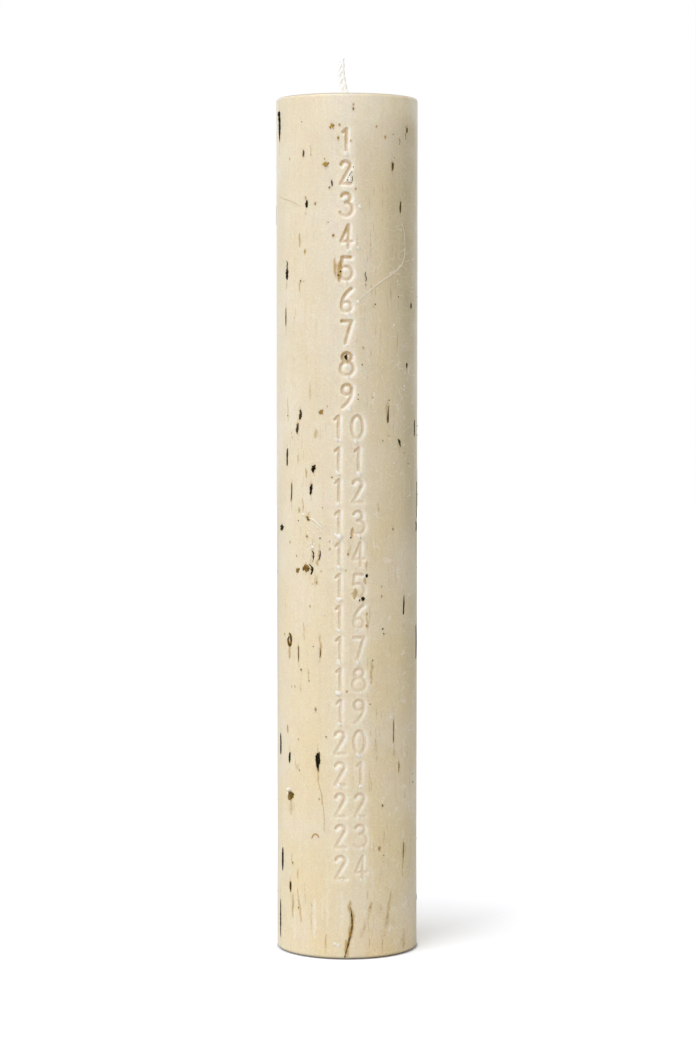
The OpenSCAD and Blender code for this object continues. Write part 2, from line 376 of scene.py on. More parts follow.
# %% Bloom and stains, brightness with a painted contact shade, and relief
def bloom_of(wax):
    """White streaks near the foot, where the wax has bloomed."""
    return wax.number("bloom") * (0.4 + 0.6 * wax.step(wax.mottle, 0.35, 0.6))


def stain_of(wax):
    """How brown the oil of the plant pieces has made the wax, with an edge that noise frays."""
    stain = wax.number("stain")
    frayed = stain + (wax.mottle - 0.5) * 0.5 + (wax.hairlines - 0.5) * 0.7 + (wax.crumbs - 0.5) * 0.4
    return wax.step(frayed, 0.15, 0.85) * wax.step(stain, 0.02, 0.2)


def unevenness_and_contact_shade_of(wax):
    """Fine unevenness, painted shade where the candle stands, and darker at the outer edge of its top."""
    uneven = 1 + (wax.grain - 0.5) * 0.14 + (wax.frost - 0.5) * 0.2 + (wax.hairlines - 0.5) * 0.07
    radius = wax.from_axis(wax.place)[1]
    top_edge = wax.step(wax.height, wax_high.z - 0.6 * MM, wax_high.z - 0.25 * MM)
    top_edge = top_edge * wax.step(radius, WAX_R - 2.2 * MM, WAX_R - 1.0 * MM)
    # painted shade: darker over the lowest 1.3 mm, where the candle stands on the floor
    return uneven * (0.35 + 0.65 * wax.up(0.1, 1.3)) * (1 - 0.45 * top_edge)


def relief_of(wax):
    """The finest bumps: grain, hair lines, crumbs in the pressed band and the edge of each groove."""
    relief = wax.mottle * 0.5 + wax.hairlines * 0.3 + wax.grain * 0.35
    relief = relief + wax.crumbs * wax.number("trough") * 1.2
    return relief + wax.step(wax.number("edge"), 0.42, 0.78) * wax.number("press") * 2.2


# %% Mix the wax
def wax_material():
    wax = WaxFinish("candle_wax")
    stain = stain_of(wax)
    coats = ground_coats(wax) + cast_coats(wax) + pressed_coats(wax)
    coats += [(bloom_of(wax), WHITE_AND_LIT_WAX), (stain * 0.9, STAIN)]
    wax.look(Base_Color=wax.scaled(wax.coated(WAX, coats), unevenness_and_contact_shade_of(wax)))
    wax.look(Roughness=0.38 + 0.16 * wax.mottle + 0.1 * stain)
    wax.look(Subsurface_Weight=0.35, Subsurface_Radius=(0.85, 0.5, 0.22), Subsurface_Scale=1.4 * MM)
    wax.look(Specular_IOR_Level=0.4, IOR=1.44, Coat_Weight=0.5, Coat_Roughness=0.22, Coat_IOR=1.4)
    wax.bump(relief_of(wax), 0.5, 0.12 * MM)
    return wax.material


def crumb_material():
    """Crumbled wax: the same stuff, but full of air, so it is white and light doesn't go far into it."""
    crumb = Finish("crumbled_wax")
    grit = crumb.noise(crumb.place, 2400.0, 3.0)
    crumb.look(Base_Color=crumb.mix(grit, CRUMB_WAX, WHITE_AND_LIT_WAX), Roughness=0.35 + 0.4 * grit)
    crumb.bump(grit, 0.6, 0.05 * MM)
    return crumb.material


wax = wax_material()
crumbled = crumb_material()
print("wax:", len(wax.node_tree.nodes), "nodes")

# %% [markdown]
# Bark, husks and the stalk are the same dry stuff, from almost black to amber. One function makes the two
# materials that they need, and the points' `tone` picks the shade: 0 is black bark, 1 is an amber husk. A
# picture of bark would be too coarse for pieces a millimetre wide, so the fibres are fine noise along Z.

# %% Bark and husks
PLANT_SHADES = [
    (0, (0.003, 0.002, 0.001)), (0.2, (0.035, 0.025, 0.008)), (0.5, (0.16, 0.094, 0.021)),
    (0.8, (0.40, 0.24, 0.055)), (1, (0.60, 0.385, 0.13)),
]


def plant_material(name, roughness):
    plant = Finish(name)
    fibres = plant.noise(plant.stretched((1, 1, 0.2)), 5200.0, 3.0)
    crumbs = plant.noise(plant.place, 1900.0)
    shade = plant.number("tone") + (fibres - 0.5) * 0.4 + plant.step(crumbs, 0.58, 0.7) * 0.2
    plant.look(Base_Color=plant.node("ShaderNodeValToRGB", {0: shade}, stops=PLANT_SHADES))
    plant.look(Roughness=roughness - 0.2 * fibres, Specular_IOR_Level=0.04)
    plant.bump(fibres + crumbs, 0.7, 0.05 * MM)
    return plant.material


bark = plant_material("dry_bark", 0.62)
husk = plant_material("seed_husk", 0.72)
print("plant pieces: two materials")

# %% [markdown]
# Cotton scatters light inside its fibres, so it never goes dark: a little light of its own stands for
# that, and a sheen for the down on each yarn. The tin of the wick clip is rolled sheet: grey, with a fine
# grain in its gloss.

# %% Cotton and tin
COTTON = (0.93, 0.935, 0.93)
COTTON_LINT = (0.96, 0.965, 0.96)
COTTON_PATCH = (0.90, 0.895, 0.87)
COTTON_GLOW = (0.96, 0.98, 1.0)
TIN_DARK = (0.52, 0.52, 0.50)
TIN_LIGHT = (0.74, 0.74, 0.73)


def cotton_material():
    cotton = Finish("wick_cotton")
    lint = cotton.noise(cotton.place, 3500.0, 3.0)
    patches = cotton.step(cotton.noise(cotton.place, 420.0), 0.5, 0.8) * 0.2
    coats = [(cotton.step(lint, 0.35, 0.7), COTTON_LINT), (patches, COTTON_PATCH)]
    cotton.look(Base_Color=cotton.coated(COTTON, coats), Roughness=0.8 + 0.15 * lint)
    cotton.look(Sheen_Weight=0.3, Sheen_Roughness=0.4, Specular_IOR_Level=0.2)
    cotton.look(Emission_Color=COTTON_GLOW, Emission_Strength=0.16)
    cotton.bump(lint, 0.2, 0.02 * MM)
    return cotton.material


def tin_material():
    tin = Finish("tinplate")
    lines = tin.noise(tin.stretched((1, 14, 14)), 260.0, 4.0)
    tin.look(Base_Color=tin.mix(lines, TIN_DARK, TIN_LIGHT), Roughness=0.26 + 0.22 * lines, Metallic=1.0)
    tin.bump(lines, 0.25, 0.02 * MM)
    return tin.material


cotton = cotton_material()
tin = tin_material()
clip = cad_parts["wick_clip"]
clip.data.materials.clear()
clip.data.materials.append(tin)
print("clip: tinplate on", len(clip.data.polygons), "faces")

# %% [markdown]
# ## The numerals
#
# Each figure was pressed with a stamp, so it is a groove of one width that follows the figure's strokes.
# A font would give outlines. Here the strokes are drawn as centre lines in a small box, with arcs for
# bowls, because the groove only has to follow them.

# %% The centre lines of the figures
NUMERAL_H = 9.0 * MM
NUMERAL_W = 4.7 * MM
STROKE_W = 1.3 * MM
LINE_H = NUMERAL_H - STROKE_W
HALF_W = (NUMERAL_W - STROKE_W) / 2
TOP_BOWL = HALF_W * 0.92
LOW_BOWL = (LINE_H - 2 * TOP_BOWL) / 2
ZERO_HALF_W = HALF_W * 1.16
ZERO_LIFT = 0.2 * MM
STEM_R = LINE_H * 0.95
STEM_X = 0.8 * MM
BAR_Y = LINE_H * 0.28
BAR_OUT = 0.3 * MM
BELLY_Y = LINE_H * 0.56
ONE_X = 0.4 * MM


def arc(x, y, r, start, end, steps=20):
    turns = np.radians(np.linspace(start, end, steps + 1))
    return [(x + r * math.cos(t), y + r * math.sin(t)) for t in turns]


def figure(n):
    """The strokes of figure n, each a list of points in a box HALF_W either side of 0 and LINE_H high."""
    h, w, top = LINE_H, HALF_W, LINE_H - TOP_BOWL
    foot_turn = math.degrees(math.atan2(-top, -w) + math.acos(TOP_BOWL / math.hypot(top, w)))
    six_stem = [(STEM_R - w + x, w + y) for x, y in arc(0, 0, STEM_R, 178, 123, 10)]
    six = [arc(0, w, w, 0, 360, 28), six_stem]
    unit_ring = arc(0, 0, 1, 0, 360, 40)
    strokes = {
        0: [[(ZERO_HALF_W * x, h * (1 + y) / 2 + ZERO_LIFT) for x, y in unit_ring]],
        1: [[(ONE_X, 0), (ONE_X, h)], [(ONE_X, h), (-0.75 * MM, h - MM)],
            [(ONE_X, h - 0.7 * MM), (-0.3 * MM, h - 0.9 * MM)]],
        2: [arc(0, top, TOP_BOWL, 165, foot_turn) + [(-w, 0)], [(-w, 0), (w, 0)]],
        3: [arc(0, top, TOP_BOWL, 155, -90), arc(0, LOW_BOWL, LOW_BOWL, 90, -150)],
        4: [[(STEM_X, h), (-w, BAR_Y), (w + BAR_OUT, BAR_Y)], [(STEM_X, h), (STEM_X, 0)]],
        5: [[(w - 0.2 * MM, h), (0.3 * MM - w, h), (0.1 * MM - w, BELLY_Y)],
            [(0.1 * MM - w, BELLY_Y)] + arc(-0.2 * MM, LOW_BOWL, LOW_BOWL, 110, -145)],
        6: six,
        7: [[(-w, h), (w, h), (-0.5 * MM, 0)]],
        8: [arc(0, top, TOP_BOWL, 0, 360, 28), arc(0, LOW_BOWL, LOW_BOWL, 0, 360, 28)],
        9: [[(-x, h - y) for x, y in stroke] for stroke in six],
    }
    return strokes[n]


print("figures:", [len(figure(n)) for n in range(10)], "strokes for 0 to 9")

# %% [markdown]
# The figures stand in rows down the pillar, 1 to 9 in the middle and 10 to 24 as pairs, in a column that
# leans a little. On the real candle the pairs are less deep, fade further from day 10 to day 15, and
# every figure is deeper at its top than at its foot. So each point of a stroke carries the depth of its
# own pressing.

# %% Lay the figures out in rows
DAYS = 24
DAY_PITCH = 11.0 * MM
LAST_DAY_Z = 32.5 * MM
FIGURE_GAP = 7.0 * MM
COLUMN_LEAN = math.radians(0.4)
ONE_DEPTH = 0.75 * MM
TWO_DEPTH = 0.55 * MM
FOOT_SHARE = 0.45


def faintness(day, place):
    """How much of the full depth a figure of a pair has."""
    return max(0.75 - 0.12 * place, 1 - 0.05 * (day - 10) - 0.05 * place)


def stamped_figures():
    """(figure, distance across from the front line, middle height, depth) for each figure of each day."""
    zero_lean_z = LAST_DAY_Z + 18 * DAY_PITCH
    for day in range(1, DAYS + 1):
        z = LAST_DAY_Z + (DAYS - day) * DAY_PITCH
        middle = (zero_lean_z - z) * math.tan(COLUMN_LEAN)
        if day < 10:
            yield day, middle, z, ONE_DEPTH
        else:
            for place, n in enumerate(divmod(day, 10)):
                across = middle + (place - 0.5) * FIGURE_GAP
                yield n, across, z, TWO_DEPTH * faintness(day, place)


def finely(stroke, gap=0.5 * MM):
    """A stroke with points at even gaps along its straight parts too."""
    found = [stroke[0]]
    for (x0, y0), (x1, y1) in zip(stroke, stroke[1:]):
        count = max(1, round(math.hypot(x1 - x0, y1 - y0) / gap))
        found += [(x0 + (x1 - x0) * i / count, y0 + (y1 - y0) * i / count) for i in range(1, count + 1)]
    return found


def stroke_lines():
    """Each stroke on the unrolled wax: its points as (across, z), and the depth of the pressing at each."""
    lines = []
    for n, across, z, depth in stamped_figures():
        for stroke in figure(n):
            fine = finely(stroke)
            depths = [depth * (FOOT_SHARE + (1 - FOOT_SHARE) * y / LINE_H) for x, y in fine]
            lines.append(([(across + x, z + y - LINE_H / 2) for x, y in fine], depths))
    return lines


STROKES = stroke_lines()
print("numerals:", len(list(stamped_figures())), "figures in", len(STROKES), "strokes")

# %% [markdown]
# ## Where the plant pieces lie
#
# The slivers, chips, stains and specks are where the photographed candle has them, as read off it. A row
# gives the turn from the numerals in degrees, the height and sizes in millimetres, and then how the piece
# looks. A sliver's row ends with its lean, how far it narrows downwards, how far it bends, and its tone
# from black bark to amber husk. Its first five numbers are those of the solid model, but for some widths.
# A chip's row has no taper and no bend.

# %% Slivers and chips: turn, height, length, width, lean and looks
SLIVERS = [
    (-71, 291, 11, 0.9, 1, 0.6, 0, 0), (-37, 281.5, 2.6, 0.8, 0, 0.2, 0, 0.32),
    (-12, 271, 2.6, 0.6, -14, 0, 0, 0.32), (-34, 264, 3.2, 0.9, 0, 0, 0, 0),
    (57, 290, 2.2, 0.4, 0, 0, 0, 0.25), (39, 277, 3.2, 0.8, -6, 0.2, 0.3, 0.3),
    (48, 263, 4.6, 0.6, 0, -0.5, 0, 0.25), (-57, 240, 4.6, 1.1, 0, 0, 0, 0),
    (-59, 225, 7.8, 0.4, 0, 0, 0.1, 0.4), (64, 229, 2.4, 0.6, 0, 0, 0, 0.08),
    (57, 208, 2.2, 0.6, 0, 0.5, 0, 0.1), (0, 211, 2.4, 0.8, 0, -0.2, -0.5, 0),
    (-41, 191, 4.2, 1.3, 4, 0, 0.3, 0.2), (-44, 186, 4.4, 1, 4, 0.3, 0, 0.2),
    (35, 191, 7, 0.5, 3, -0.9, 0, 0.2), (72, 186, 7, 0.4, 0, 0, 0, 0.1),
    (47, 181, 4, 0.6, -25, 0.5, 0.3, 0.2), (-57, 176, 7, 0.7, 0, 0, 0, 0.15),
    (-28, 172, 3.2, 1.4, 0, 0.8, 0, 0), (-30, 165, 4.4, 1, 8, 0, 0, 0),
    (-51, 164, 7, 0.5, 0, 0, 0.1, 0.3), (-67, 151, 2.7, 1.4, 0, -0.5, 0.2, 0),
    (-29, 142, 4.4, 0.4, -8, 0, 0.6, 0.1), (-23, 142, 4.2, 0.4, 12, 0, 0.5, 0.2),
    (-31, 137, 4.6, 0.7, -12, -0.2, 0.9, 0.05), (16, 135, 1.5, 1, 0, 0, 0, 0),
    (13, 127, 1.7, 1.3, 0, 0, 0, 0), (53, 124, 8.2, 0.5, 4, -0.4, 0, 0),
    (-43, 107, 6.4, 0.4, 0, 0, 0.1, 0.45), (-22, 108, 3.6, 0.45, 0, 0, 0.2, 0.4),
    (-70, 74, 9, 0.75, -3, 0, 0, 0.02), (-54, 70, 4.4, 0.8, 2, 0.2, 0, 0.05),
    (-24, 69.5, 7.8, 1.4, 0, 0.6, 0, 0), (41, 80, 9, 0.35, 0, -0.3, 0, 0.5),
    (47, 67, 4.4, 0.35, 0, 0.2, 0, 0.55), (53, 37, 7, 0.28, 4, 0.6, 0.2, 0.5),
    (-66, 33, 10, 0.85, 0, 0, 0.1, 0), (-53, 24, 4.6, 0.9, -6, 0.3, 0, 0.2),
    (-71, 11.5, 16.5, 0.55, 0, 0, 0, 0.02),
]
CHIPS = [
    (-17, 277.5, 2.1, 2.2, 20, 0.8), (-12, 290.5, 1.9, 1.8, 40, 0.8), (-33, 155, 1.6, 1.9, 60, 0.6),
    (-35.5, 137.5, 2.6, 2.8, 30, 0.5), (-44, 136.5, 1.6, 1.6, 0, 0.6), (-54, 112, 3, 2.4, -20, 0.45),
    (-53, 56.5, 3.2, 3, 15, 0.5), (-21, 192, 1.8, 1.6, 0, 0.75),
]
STALK = [(2.2, 20), (3.4, 17), (4.2, 13.6), (3.7, 10.6), (2.3, 8), (0.8, 5.2), (-1, 2.4), (-1.8, 0.9)]
print("plant pieces:", len(SLIVERS), "slivers and", len(CHIPS), "chips")

# %% Brown streaks and pale ones: turn, height of both ends, half width, strength and lean
STREAKS = [
    (-30, 284, 281, 0.4, 0.7), (-36, 262, 258, 0.4, 0.4), (-41, 254, 249, 0.45, 0.8),
    (-36, 248.5, 246.5, 0.6, 0.7), (-9.5, 245.5, 238, 0.5, 0.8), (-6, 244, 237, 0.8, 0.9),
    (-58, 238, 234.5, 0.6, 0.7), (-41, 238, 233.5, 0.4, 0.6), (-59, 231, 218, 0.5, 0.6),
    (15, 239, 235, 0.4, 0.5), (-31, 202, 195, 0.4, 0.6), (-56, 197, 188, 0.45, 0.6),
    (34, 196, 187, 0.6, 0.6), (-39, 187, 179, 0.5, 0.4), (-26, 186.5, 183, 0.8, 0.7),
    (35, 188, 182, 0.4, 0.5), (-43, 177, 174, 0.4, 0.7), (-35, 172.5, 169, 0.4, 0.8),
    (-47, 186, 180, 0.4, 0.4), (-38, 162, 157, 0.4, 0.7), (-42, 158.5, 156.5, 0.5, 0.7),
    (-51, 169, 157, 0.5, 0.5), (-24.5, 140.4, 138.4, 0.6, 0.7), (-27, 139, 130, 0.3, 0.5),
    (-26, 134, 131, 0.4, 0.5), (26, 160.5, 157, 0.4, 0.5), (4, 152, 148, 0.6, 0.8),
    (2, 148, 142, 0.6, 0.5), (16, 141, 136, 0.4, 0.6), (15, 134.5, 132, 0.7, 0.7),
    (6.5, 130.5, 127, 0.8, 0.8), (-37, 118, 112, 0.5, 0.5), (-22, 115, 109, 0.5, 0.7),
    (-54, 111, 105, 1.0, 0.7), (-43, 111, 102, 0.5, 0.6), (-40, 101, 93, 0.5, 0.5),
    (-33, 104, 98, 0.4, 0.5), (20, 105, 97, 0.5, 0.7), (16.5, 121, 116, 0.5, 0.6),
    (-57, 81.5, 78.5, 0.5, 1.0), (-46, 70, 66, 0.5, 0.6), (-43, 69, 66, 0.5, 0.6),
    (-52, 56, 50, 1.6, 0.45), (-24, 66, 59.5, 0.4, 0.5), (-20.5, 59, 54, 0.4, 0.6),
    (-18.5, 54, 44, 0.4, 0.5), (41, 85, 75, 0.4, 0.6), (-51, 36, 33, 0.5, 0.5), (-44, 31, 27, 0.5, 0.6),
    (-50, 22, 13, 0.6, 0.6), (-30, 19.5, 8, 0.6, 0.4), (-17.5, 9, 1.5, 0.5, 0.5), (52, 39, 28, 0.4, 0.6),
    (16, 20, 7.5, 1.0, 0.5, 17), (34, 23, 5, 1.0, 0.5, 12), (26, 20, 9, 0.8, 0.3, 12),
    (28, 10, 3, 0.6, 0.3, 5), (41, 20, 5, 0.5, 0.3, 9), (53.5, 9, 2, 1.4, 0.6),
    (-42, 24, 12, 0.6, 0.6, -8), (-36, 26, 15, 0.4, 0.4, -5), (2.6, 21, 15.5, 0.7, 0.75),
    (3.9, 18, 12, 0.8, 0.85), (3.4, 14, 8, 0.8, 0.85), (1.8, 10, 4.5, 0.7, 0.7), (-0.2, 7, 1, 0.8, 0.85),
    (-34, 262, 260, 0.5, 0.5), (-12, 268.5, 267.5, 0.6, 0.4), (-62, 206, 196, 0.4, 0.35),
    (-34, 212, 200, 0.4, 0.3), (-22, 190, 178, 0.4, 0.3), (26, 206, 190, 0.4, 0.25),
    (55, 172, 150, 0.4, 0.25), (61, 196, 186, 0.4, 0.3), (-12, 130, 118, 0.4, 0.25),
    (24, 82, 66, 0.8, 0.3), (38, 26, 2, 5.0, 0.2), (20, 18, 2, 4.0, 0.18), (30, 118, 100, 0.4, 0.2),
    (-60, 128, 118, 0.4, 0.3), (10, 262, 250, 0.4, 0.3), (8, 254, 248, 0.4, 0.5),
]
BLOOM = [
    (-27, 21, 7, 0.5, 0.8), (-4, 24, 7, 0.45, 0.6), (-16, 36, 12, 0.5, 0.45), (-20, 26, 14, 0.4, 0.4),
    (-48, 16, 5, 0.5, 0.5), (21, 40, 20, 0.5, 0.3),
]
print("streaks:", len(STREAKS), "brown and", len(BLOOM), "pale ones")

# %% Specks: turn, height, size and tone
SPECKS = [
    (-72, 296, 3.2, 0), (-71, 294.2, 2.8, 0), (-39, 292.5, 0.8, 0.1), (40, 288, 0.6, 0.1),
    (0.5, 272, 0.9, 0), (5, 276.5, 0.5, 0.4), (4, 274.8, 0.5, 0.2), (4.2, 272, 0.5, 0.2),
    (-15, 257.5, 0.5, 0.3), (-6, 291, 0.8, 0.8), (-7, 286.5, 1.1, 0.8), (3, 285.5, 0.6, 0.9),
    (5, 296.5, 0.9, 0.6), (5, 298, 0.6, 0.8), (24, 290.5, 0.5, 0.9), (32, 287, 1.1, 0.9),
    (-30, 281, 0.8, 0.7), (-53, 280, 0.7, 0.9), (-18, 279.4, 0.5, 0.8), (-14, 269.5, 1.0, 0.8),
    (7, 269, 0.8, 0.9), (-26, 264, 1.0, 0.7), (-11, 253, 1.3, 0.8), (-36, 247.5, 1.0, 0.9),
    (-35, 266.2, 0.7, 1), (41, 280, 0.6, 0.1), (-5, 240.6, 0.8, 0), (-7, 239.3, 0.9, 0.4),
    (15, 236, 0.6, 0.6), (-40, 237.5, 0.9, 0.4), (-37, 237.3, 0.5, 0.7), (-47, 224.7, 0.6, 0.7),
    (46, 232, 0.7, 0.1), (23, 229.3, 0.7, 0.4), (13, 214.3, 0.5, 0.8), (9, 198, 0.5, 0.5),
    (9, 196.4, 0.5, 0.5), (21, 197, 0.6, 0.4), (-56, 190.5, 0.7, 0.1), (-16, 194, 0.6, 0.9),
    (36, 196, 0.8, 0.3), (12.3, 208.4, 0.8, 0.5), (-51, 184.5, 0.5, 0.9), (-50, 183, 0.5, 0.9),
    (-42, 157.5, 0.8, 0.9), (-43, 154, 0.8, 0.1), (-34, 148.6, 1.0, 0.5), (-53, 146.2, 0.8, 0.9),
    (-22, 148, 0.8, 0.1), (-45, 141.5, 0.7, 0.9), (-21, 136.5, 0.5, 0.9), (-25, 132.5, 0.8, 0.8),
    (-29, 132, 0.5, 0.5), (-12, 169.3, 0.6, 0.8), (-20, 158.8, 0.6, 0.9), (30, 182, 0.6, 0.2),
    (36, 183.5, 0.5, 0.6), (53, 177.5, 0.6, 0.4), (59, 173.7, 0.6, 0.2), (40, 151, 0.9, 0.6),
    (3, 148.4, 0.8, 0.1), (11, 148.2, 0.6, 0.9), (1, 142.6, 0.8, 0.8), (-14, 147, 0.4, 0.8),
    (-14, 144.4, 0.4, 0.7), (-1, 137, 0.6, 0.9), (29, 131, 0.6, 0.8), (29, 127.7, 0.8, 0.9),
    (10, 126.5, 1.1, 0), (-31, 124.2, 0.7, 0.9), (-18, 121, 0.5, 0.4), (16, 121.7, 0.7, 0.9),
    (16, 117.6, 1.0, 0.8), (30, 116.2, 0.9, 0.3), (31, 114.5, 0.8, 0.3), (-61, 113.5, 1.0, 0.5),
    (-28, 110, 0.6, 0.2), (-32, 98, 0.7, 0.5), (-51, 95.3, 0.7, 0.9), (-47, 95.5, 0.7, 0.9),
    (-40, 101.6, 1.0, 0.6), (21, 105.4, 0.8, 0.2), (0, 94.6, 0.7, 0.9), (-6, 93.4, 0.5, 0.8),
    (19, 90, 0.5, 0.6), (-26, 88, 1.2, 0.8), (-17, 78.6, 0.8, 0.6), (-43, 77, 0.6, 0.9),
    (-23, 56.5, 0.6, 0.8), (-42, 66, 0.6, 0.8), (-50, 32.8, 1.0, 0.6), (-43, 17.3, 0.9, 0.7),
    (27, 39, 1.2, 0.8), (31, 36.3, 0.6, 0.2), (31, 34, 0.6, 0.2), (30, 54, 1.0, 0.5),
    (69, 63.3, 0.6, 0.3), (69, 60.5, 0.8, 0.2), (55, 56, 0.5, 0.5), (19, 18.4, 0.7, 0.9),
]
print("specks:", len(SPECKS))

# %% [markdown]
# ## The pillar
#
# The pillar is one outline turned round Z: the recess for the clip, a rounded foot, the side, a rounded
# top edge, a top that sinks a little and the collar of wax that climbs the wick. A cylinder with bevelled
# edges would have a flat top, and a turned outline takes each of these from a named size.

# %% The turned outline
COLUMNS = 96
ROW_STEP = 1.6 * MM
TOP_ROUND = 1.2 * MM
FOOT_ROUND = 1.6 * MM
TOP_SINK = 0.5 * MM
SINK_STEPS = 12
COLLAR_R = 2.6 * MM
COLLAR_H = 0.6 * MM
RECESS_R = 7.16 * MM
RECESS_H = 0.5 * MM
BORE_R = 1.15 * MM
WAX_TOP = wax_high.z - COLLAR_H + TOP_SINK


def pillar_outline():
    """The outline as (radius, height), from the clip's recess up the side and down to the wick."""
    foot = arc(WAX_R - FOOT_ROUND, FOOT_ROUND, FOOT_ROUND, -90, 0, 6)
    top = arc(WAX_R - TOP_ROUND, WAX_TOP - TOP_ROUND, TOP_ROUND, 0, 90, 6)
    rows = int((WAX_TOP - TOP_ROUND - FOOT_ROUND) / ROW_STEP)
    side = [(WAX_R, z) for z in np.linspace(FOOT_ROUND, WAX_TOP - TOP_ROUND, rows + 1)[1:-1]]
    sink = []
    for k in np.linspace(0, 1, SINK_STEPS + 1)[1:]:
        r = (WAX_R - TOP_ROUND) * (1 - k) + COLLAR_R * k
        sink.append((r, WAX_TOP - TOP_SINK * (1 - math.cos(math.pi * k)) / 2))
    collar = [(COLLAR_R * 0.7, WAX_TOP - TOP_SINK + COLLAR_H * 0.4), (BORE_R + 0.1 * MM, wax_high.z),
              (BORE_R, wax_high.z - 0.1 * MM), (BORE_R, wax_high.z - 2 * MM)]
    return [(RECESS_R, RECESS_H), (RECESS_R, 0)] + foot + side + top + sink + collar


def turned_grid(outline):
    """Points and faces of the outline turned round Z, closed by a point at each end."""
    turns = np.linspace(-math.pi, math.pi, COLUMNS, endpoint=False)
    points = [(r * math.sin(t), -r * math.cos(t), z) for r, z in outline for t in turns]
    low, high = len(points), len(points) + 1
    points += [(0, 0, outline[0][1]), (0, 0, outline[-1][1])]
    last = (len(outline) - 1) * COLUMNS
    faces = []
    for j in range(COLUMNS):
        k = (j + 1) % COLUMNS
        faces.append((low, k, j))
        faces.append((high, last + j, last + k))
        faces += [(i + j, i + k, i + COLUMNS + k, i + COLUMNS + j) for i in range(0, last, COLUMNS)]
    return points, faces


print("outline:", len(pillar_outline()), "points from foot to wick")

# %% [markdown]
# A pressed numeral needs a fine mesh, and the rest of a smooth pillar doesn't. So the pillar starts as
# this coarse turned grid, and the faces near a stroke are halved three times, those near a stain twice.
# Each ring of refinement is wider than the next, so only untouched neighbours take the odd corners.

# %% Halve the faces near strokes and marks
STROKE_REACH = (2.6 * MM, 1.7 * MM, 1.15 * MM)
MARK_REACH = (2.0 * MM, 1.1 * MM)
STROKE_SPACING = 0.2 * MM
MARK_SPACING = 0.4 * MM
CLEAR_EDGE = 0.3 * MM


def sampled(lines, spacing):
    """A search tree of points along lines of (across, z)."""
    found = []
    for line in lines:
        for (x0, z0), (x1, z1) in zip(line, line[1:]):
            count = max(1, round(math.hypot(x1 - x0, z1 - z0) / spacing))
            found += [(x0 + (x1 - x0) * i / count, z0 + (z1 - z0) * i / count, 0) for i in range(count + 1)]
    tree = kdtree.KDTree(len(found))
    for i, point in enumerate(found):
        tree.insert(point, i)
    tree.balance()
    return tree


def mark_lines():
    """Slivers, chips, streaks and specks as short upright lines of the unrolled wax."""
    spans = [(row[0], row[1] - row[2] / 2, row[1] + row[2] / 2) for row in SLIVERS + CHIPS]
    spans += [(row[0], row[2], row[1]) for row in STREAKS + BLOOM]
    spans += [(row[0], row[1], row[1]) for row in SPECKS if row[3] >= 0.5]
    lines = []
    for turn, low, high in spans:
        across = math.radians(turn) * WAX_R
        lines.append([(across, low * MM), (across, high * MM)])
    return lines


def refined(points, faces):
    grid = bmesh.new()
    made = [grid.verts.new(p) for p in points]
    for face in faces:
        grid.faces.new([made[i] for i in face])
    near_strokes = sampled([line for line, depths in STROKES], STROKE_SPACING)
    near_marks = sampled(mark_lines(), MARK_SPACING)
    side_low, side_high = FOOT_ROUND + CLEAR_EDGE, WAX_TOP - TOP_ROUND - CLEAR_EDGE
    for level, reach in enumerate(STROKE_REACH):
        chosen = set()
        for face in grid.faces:
            c = face.calc_center_median()
            if not side_low < c.z < side_high:
                continue
            spot = (math.atan2(c.x, -c.y) * WAX_R, c.z, 0)
            close = near_strokes.find(spot)[2] < reach
            if not close and level < len(MARK_REACH):
                close = near_marks.find(spot)[2] < MARK_REACH[level]
            if close:
                chosen.update(face.edges)
        bmesh.ops.subdivide_edges(grid, edges=list(chosen), cuts=1, use_grid_fill=True)
    for v in grid.verts:
        if side_low < v.co.z < side_high and v.co.xy.length > WAX_R / 2:
            v.co.xy = v.co.xy.normalized() * WAX_R
    mesh = bpy.data.meshes.new("pillar_blank")
    grid.to_mesh(mesh)
    grid.free()
    return mesh


blank = refined(*turned_grid(pillar_outline()))
print("blank pillar:", len(blank.vertices), "points")

# %% [markdown]
# Stains and pits are worked out for every point at once: its distance to each mark on the unrolled wax
# gives how brown it is and how far the wax has sunk round the piece. A pale veil lies over the column of
# numerals, as on the real candle. These numbers are stored on the points, where the wax material reads
# them.

# %% Stains, bloom, pits and the veil on the points of the blank
PIT = 0.07 * MM
TWO_FIGURES_Z = 192 * MM
ONE_VEIL_END = 3.0 * MM
TWO_VEIL_END = 6.8 * MM


def unrolled(mesh):
    """The points of a mesh, how far each lies across from the front line, and its height."""
    co = np.zeros(len(mesh.vertices) * 3)
    mesh.vertices.foreach_get("co", co)
    co = co.reshape(-1, 3)
    return co, np.arctan2(co[:, 0], -co[:, 1]) * WAX_R, co[:, 2]


def fade(distance, near, far):
    """1 up to near and 0 from far on, with soft ends."""
    k = np.clip((far - distance) / (far - near), 0, 1)
    return k * k * (3 - 2 * k)


def span_distance(across, z, turn, low, high, sway=0.0):
    """How far points lie from an upright line between two heights, which can sway from side to side."""
    past = np.maximum(np.maximum(low * MM - z, z - high * MM), 0)
    middle = math.radians(turn) * WAX_R + sway * MM * np.sin(z / MM * 1.1 + turn) * np.cos(z / MM * 0.37)
    return np.hypot(across - middle, past)


def streak_field(across, z, turn, high, low, half, strength, lean=0):
    """Highest along the middle of a wavy streak and falling evenly to its sides, with pointed ends."""
    along = np.clip((z - low * MM) / ((high - low) * MM), 0, 1)
    across = across - (z - (low + high) / 2 * MM) * math.tan(math.radians(lean))
    reach = 2.0 * half * MM * (0.35 + 0.65 * np.sin(math.pi * along) ** 0.7)
    d = span_distance(across, z, turn, low, high, sway=0.25)
    return strength * np.clip(1 - d / reach, 0, 1)


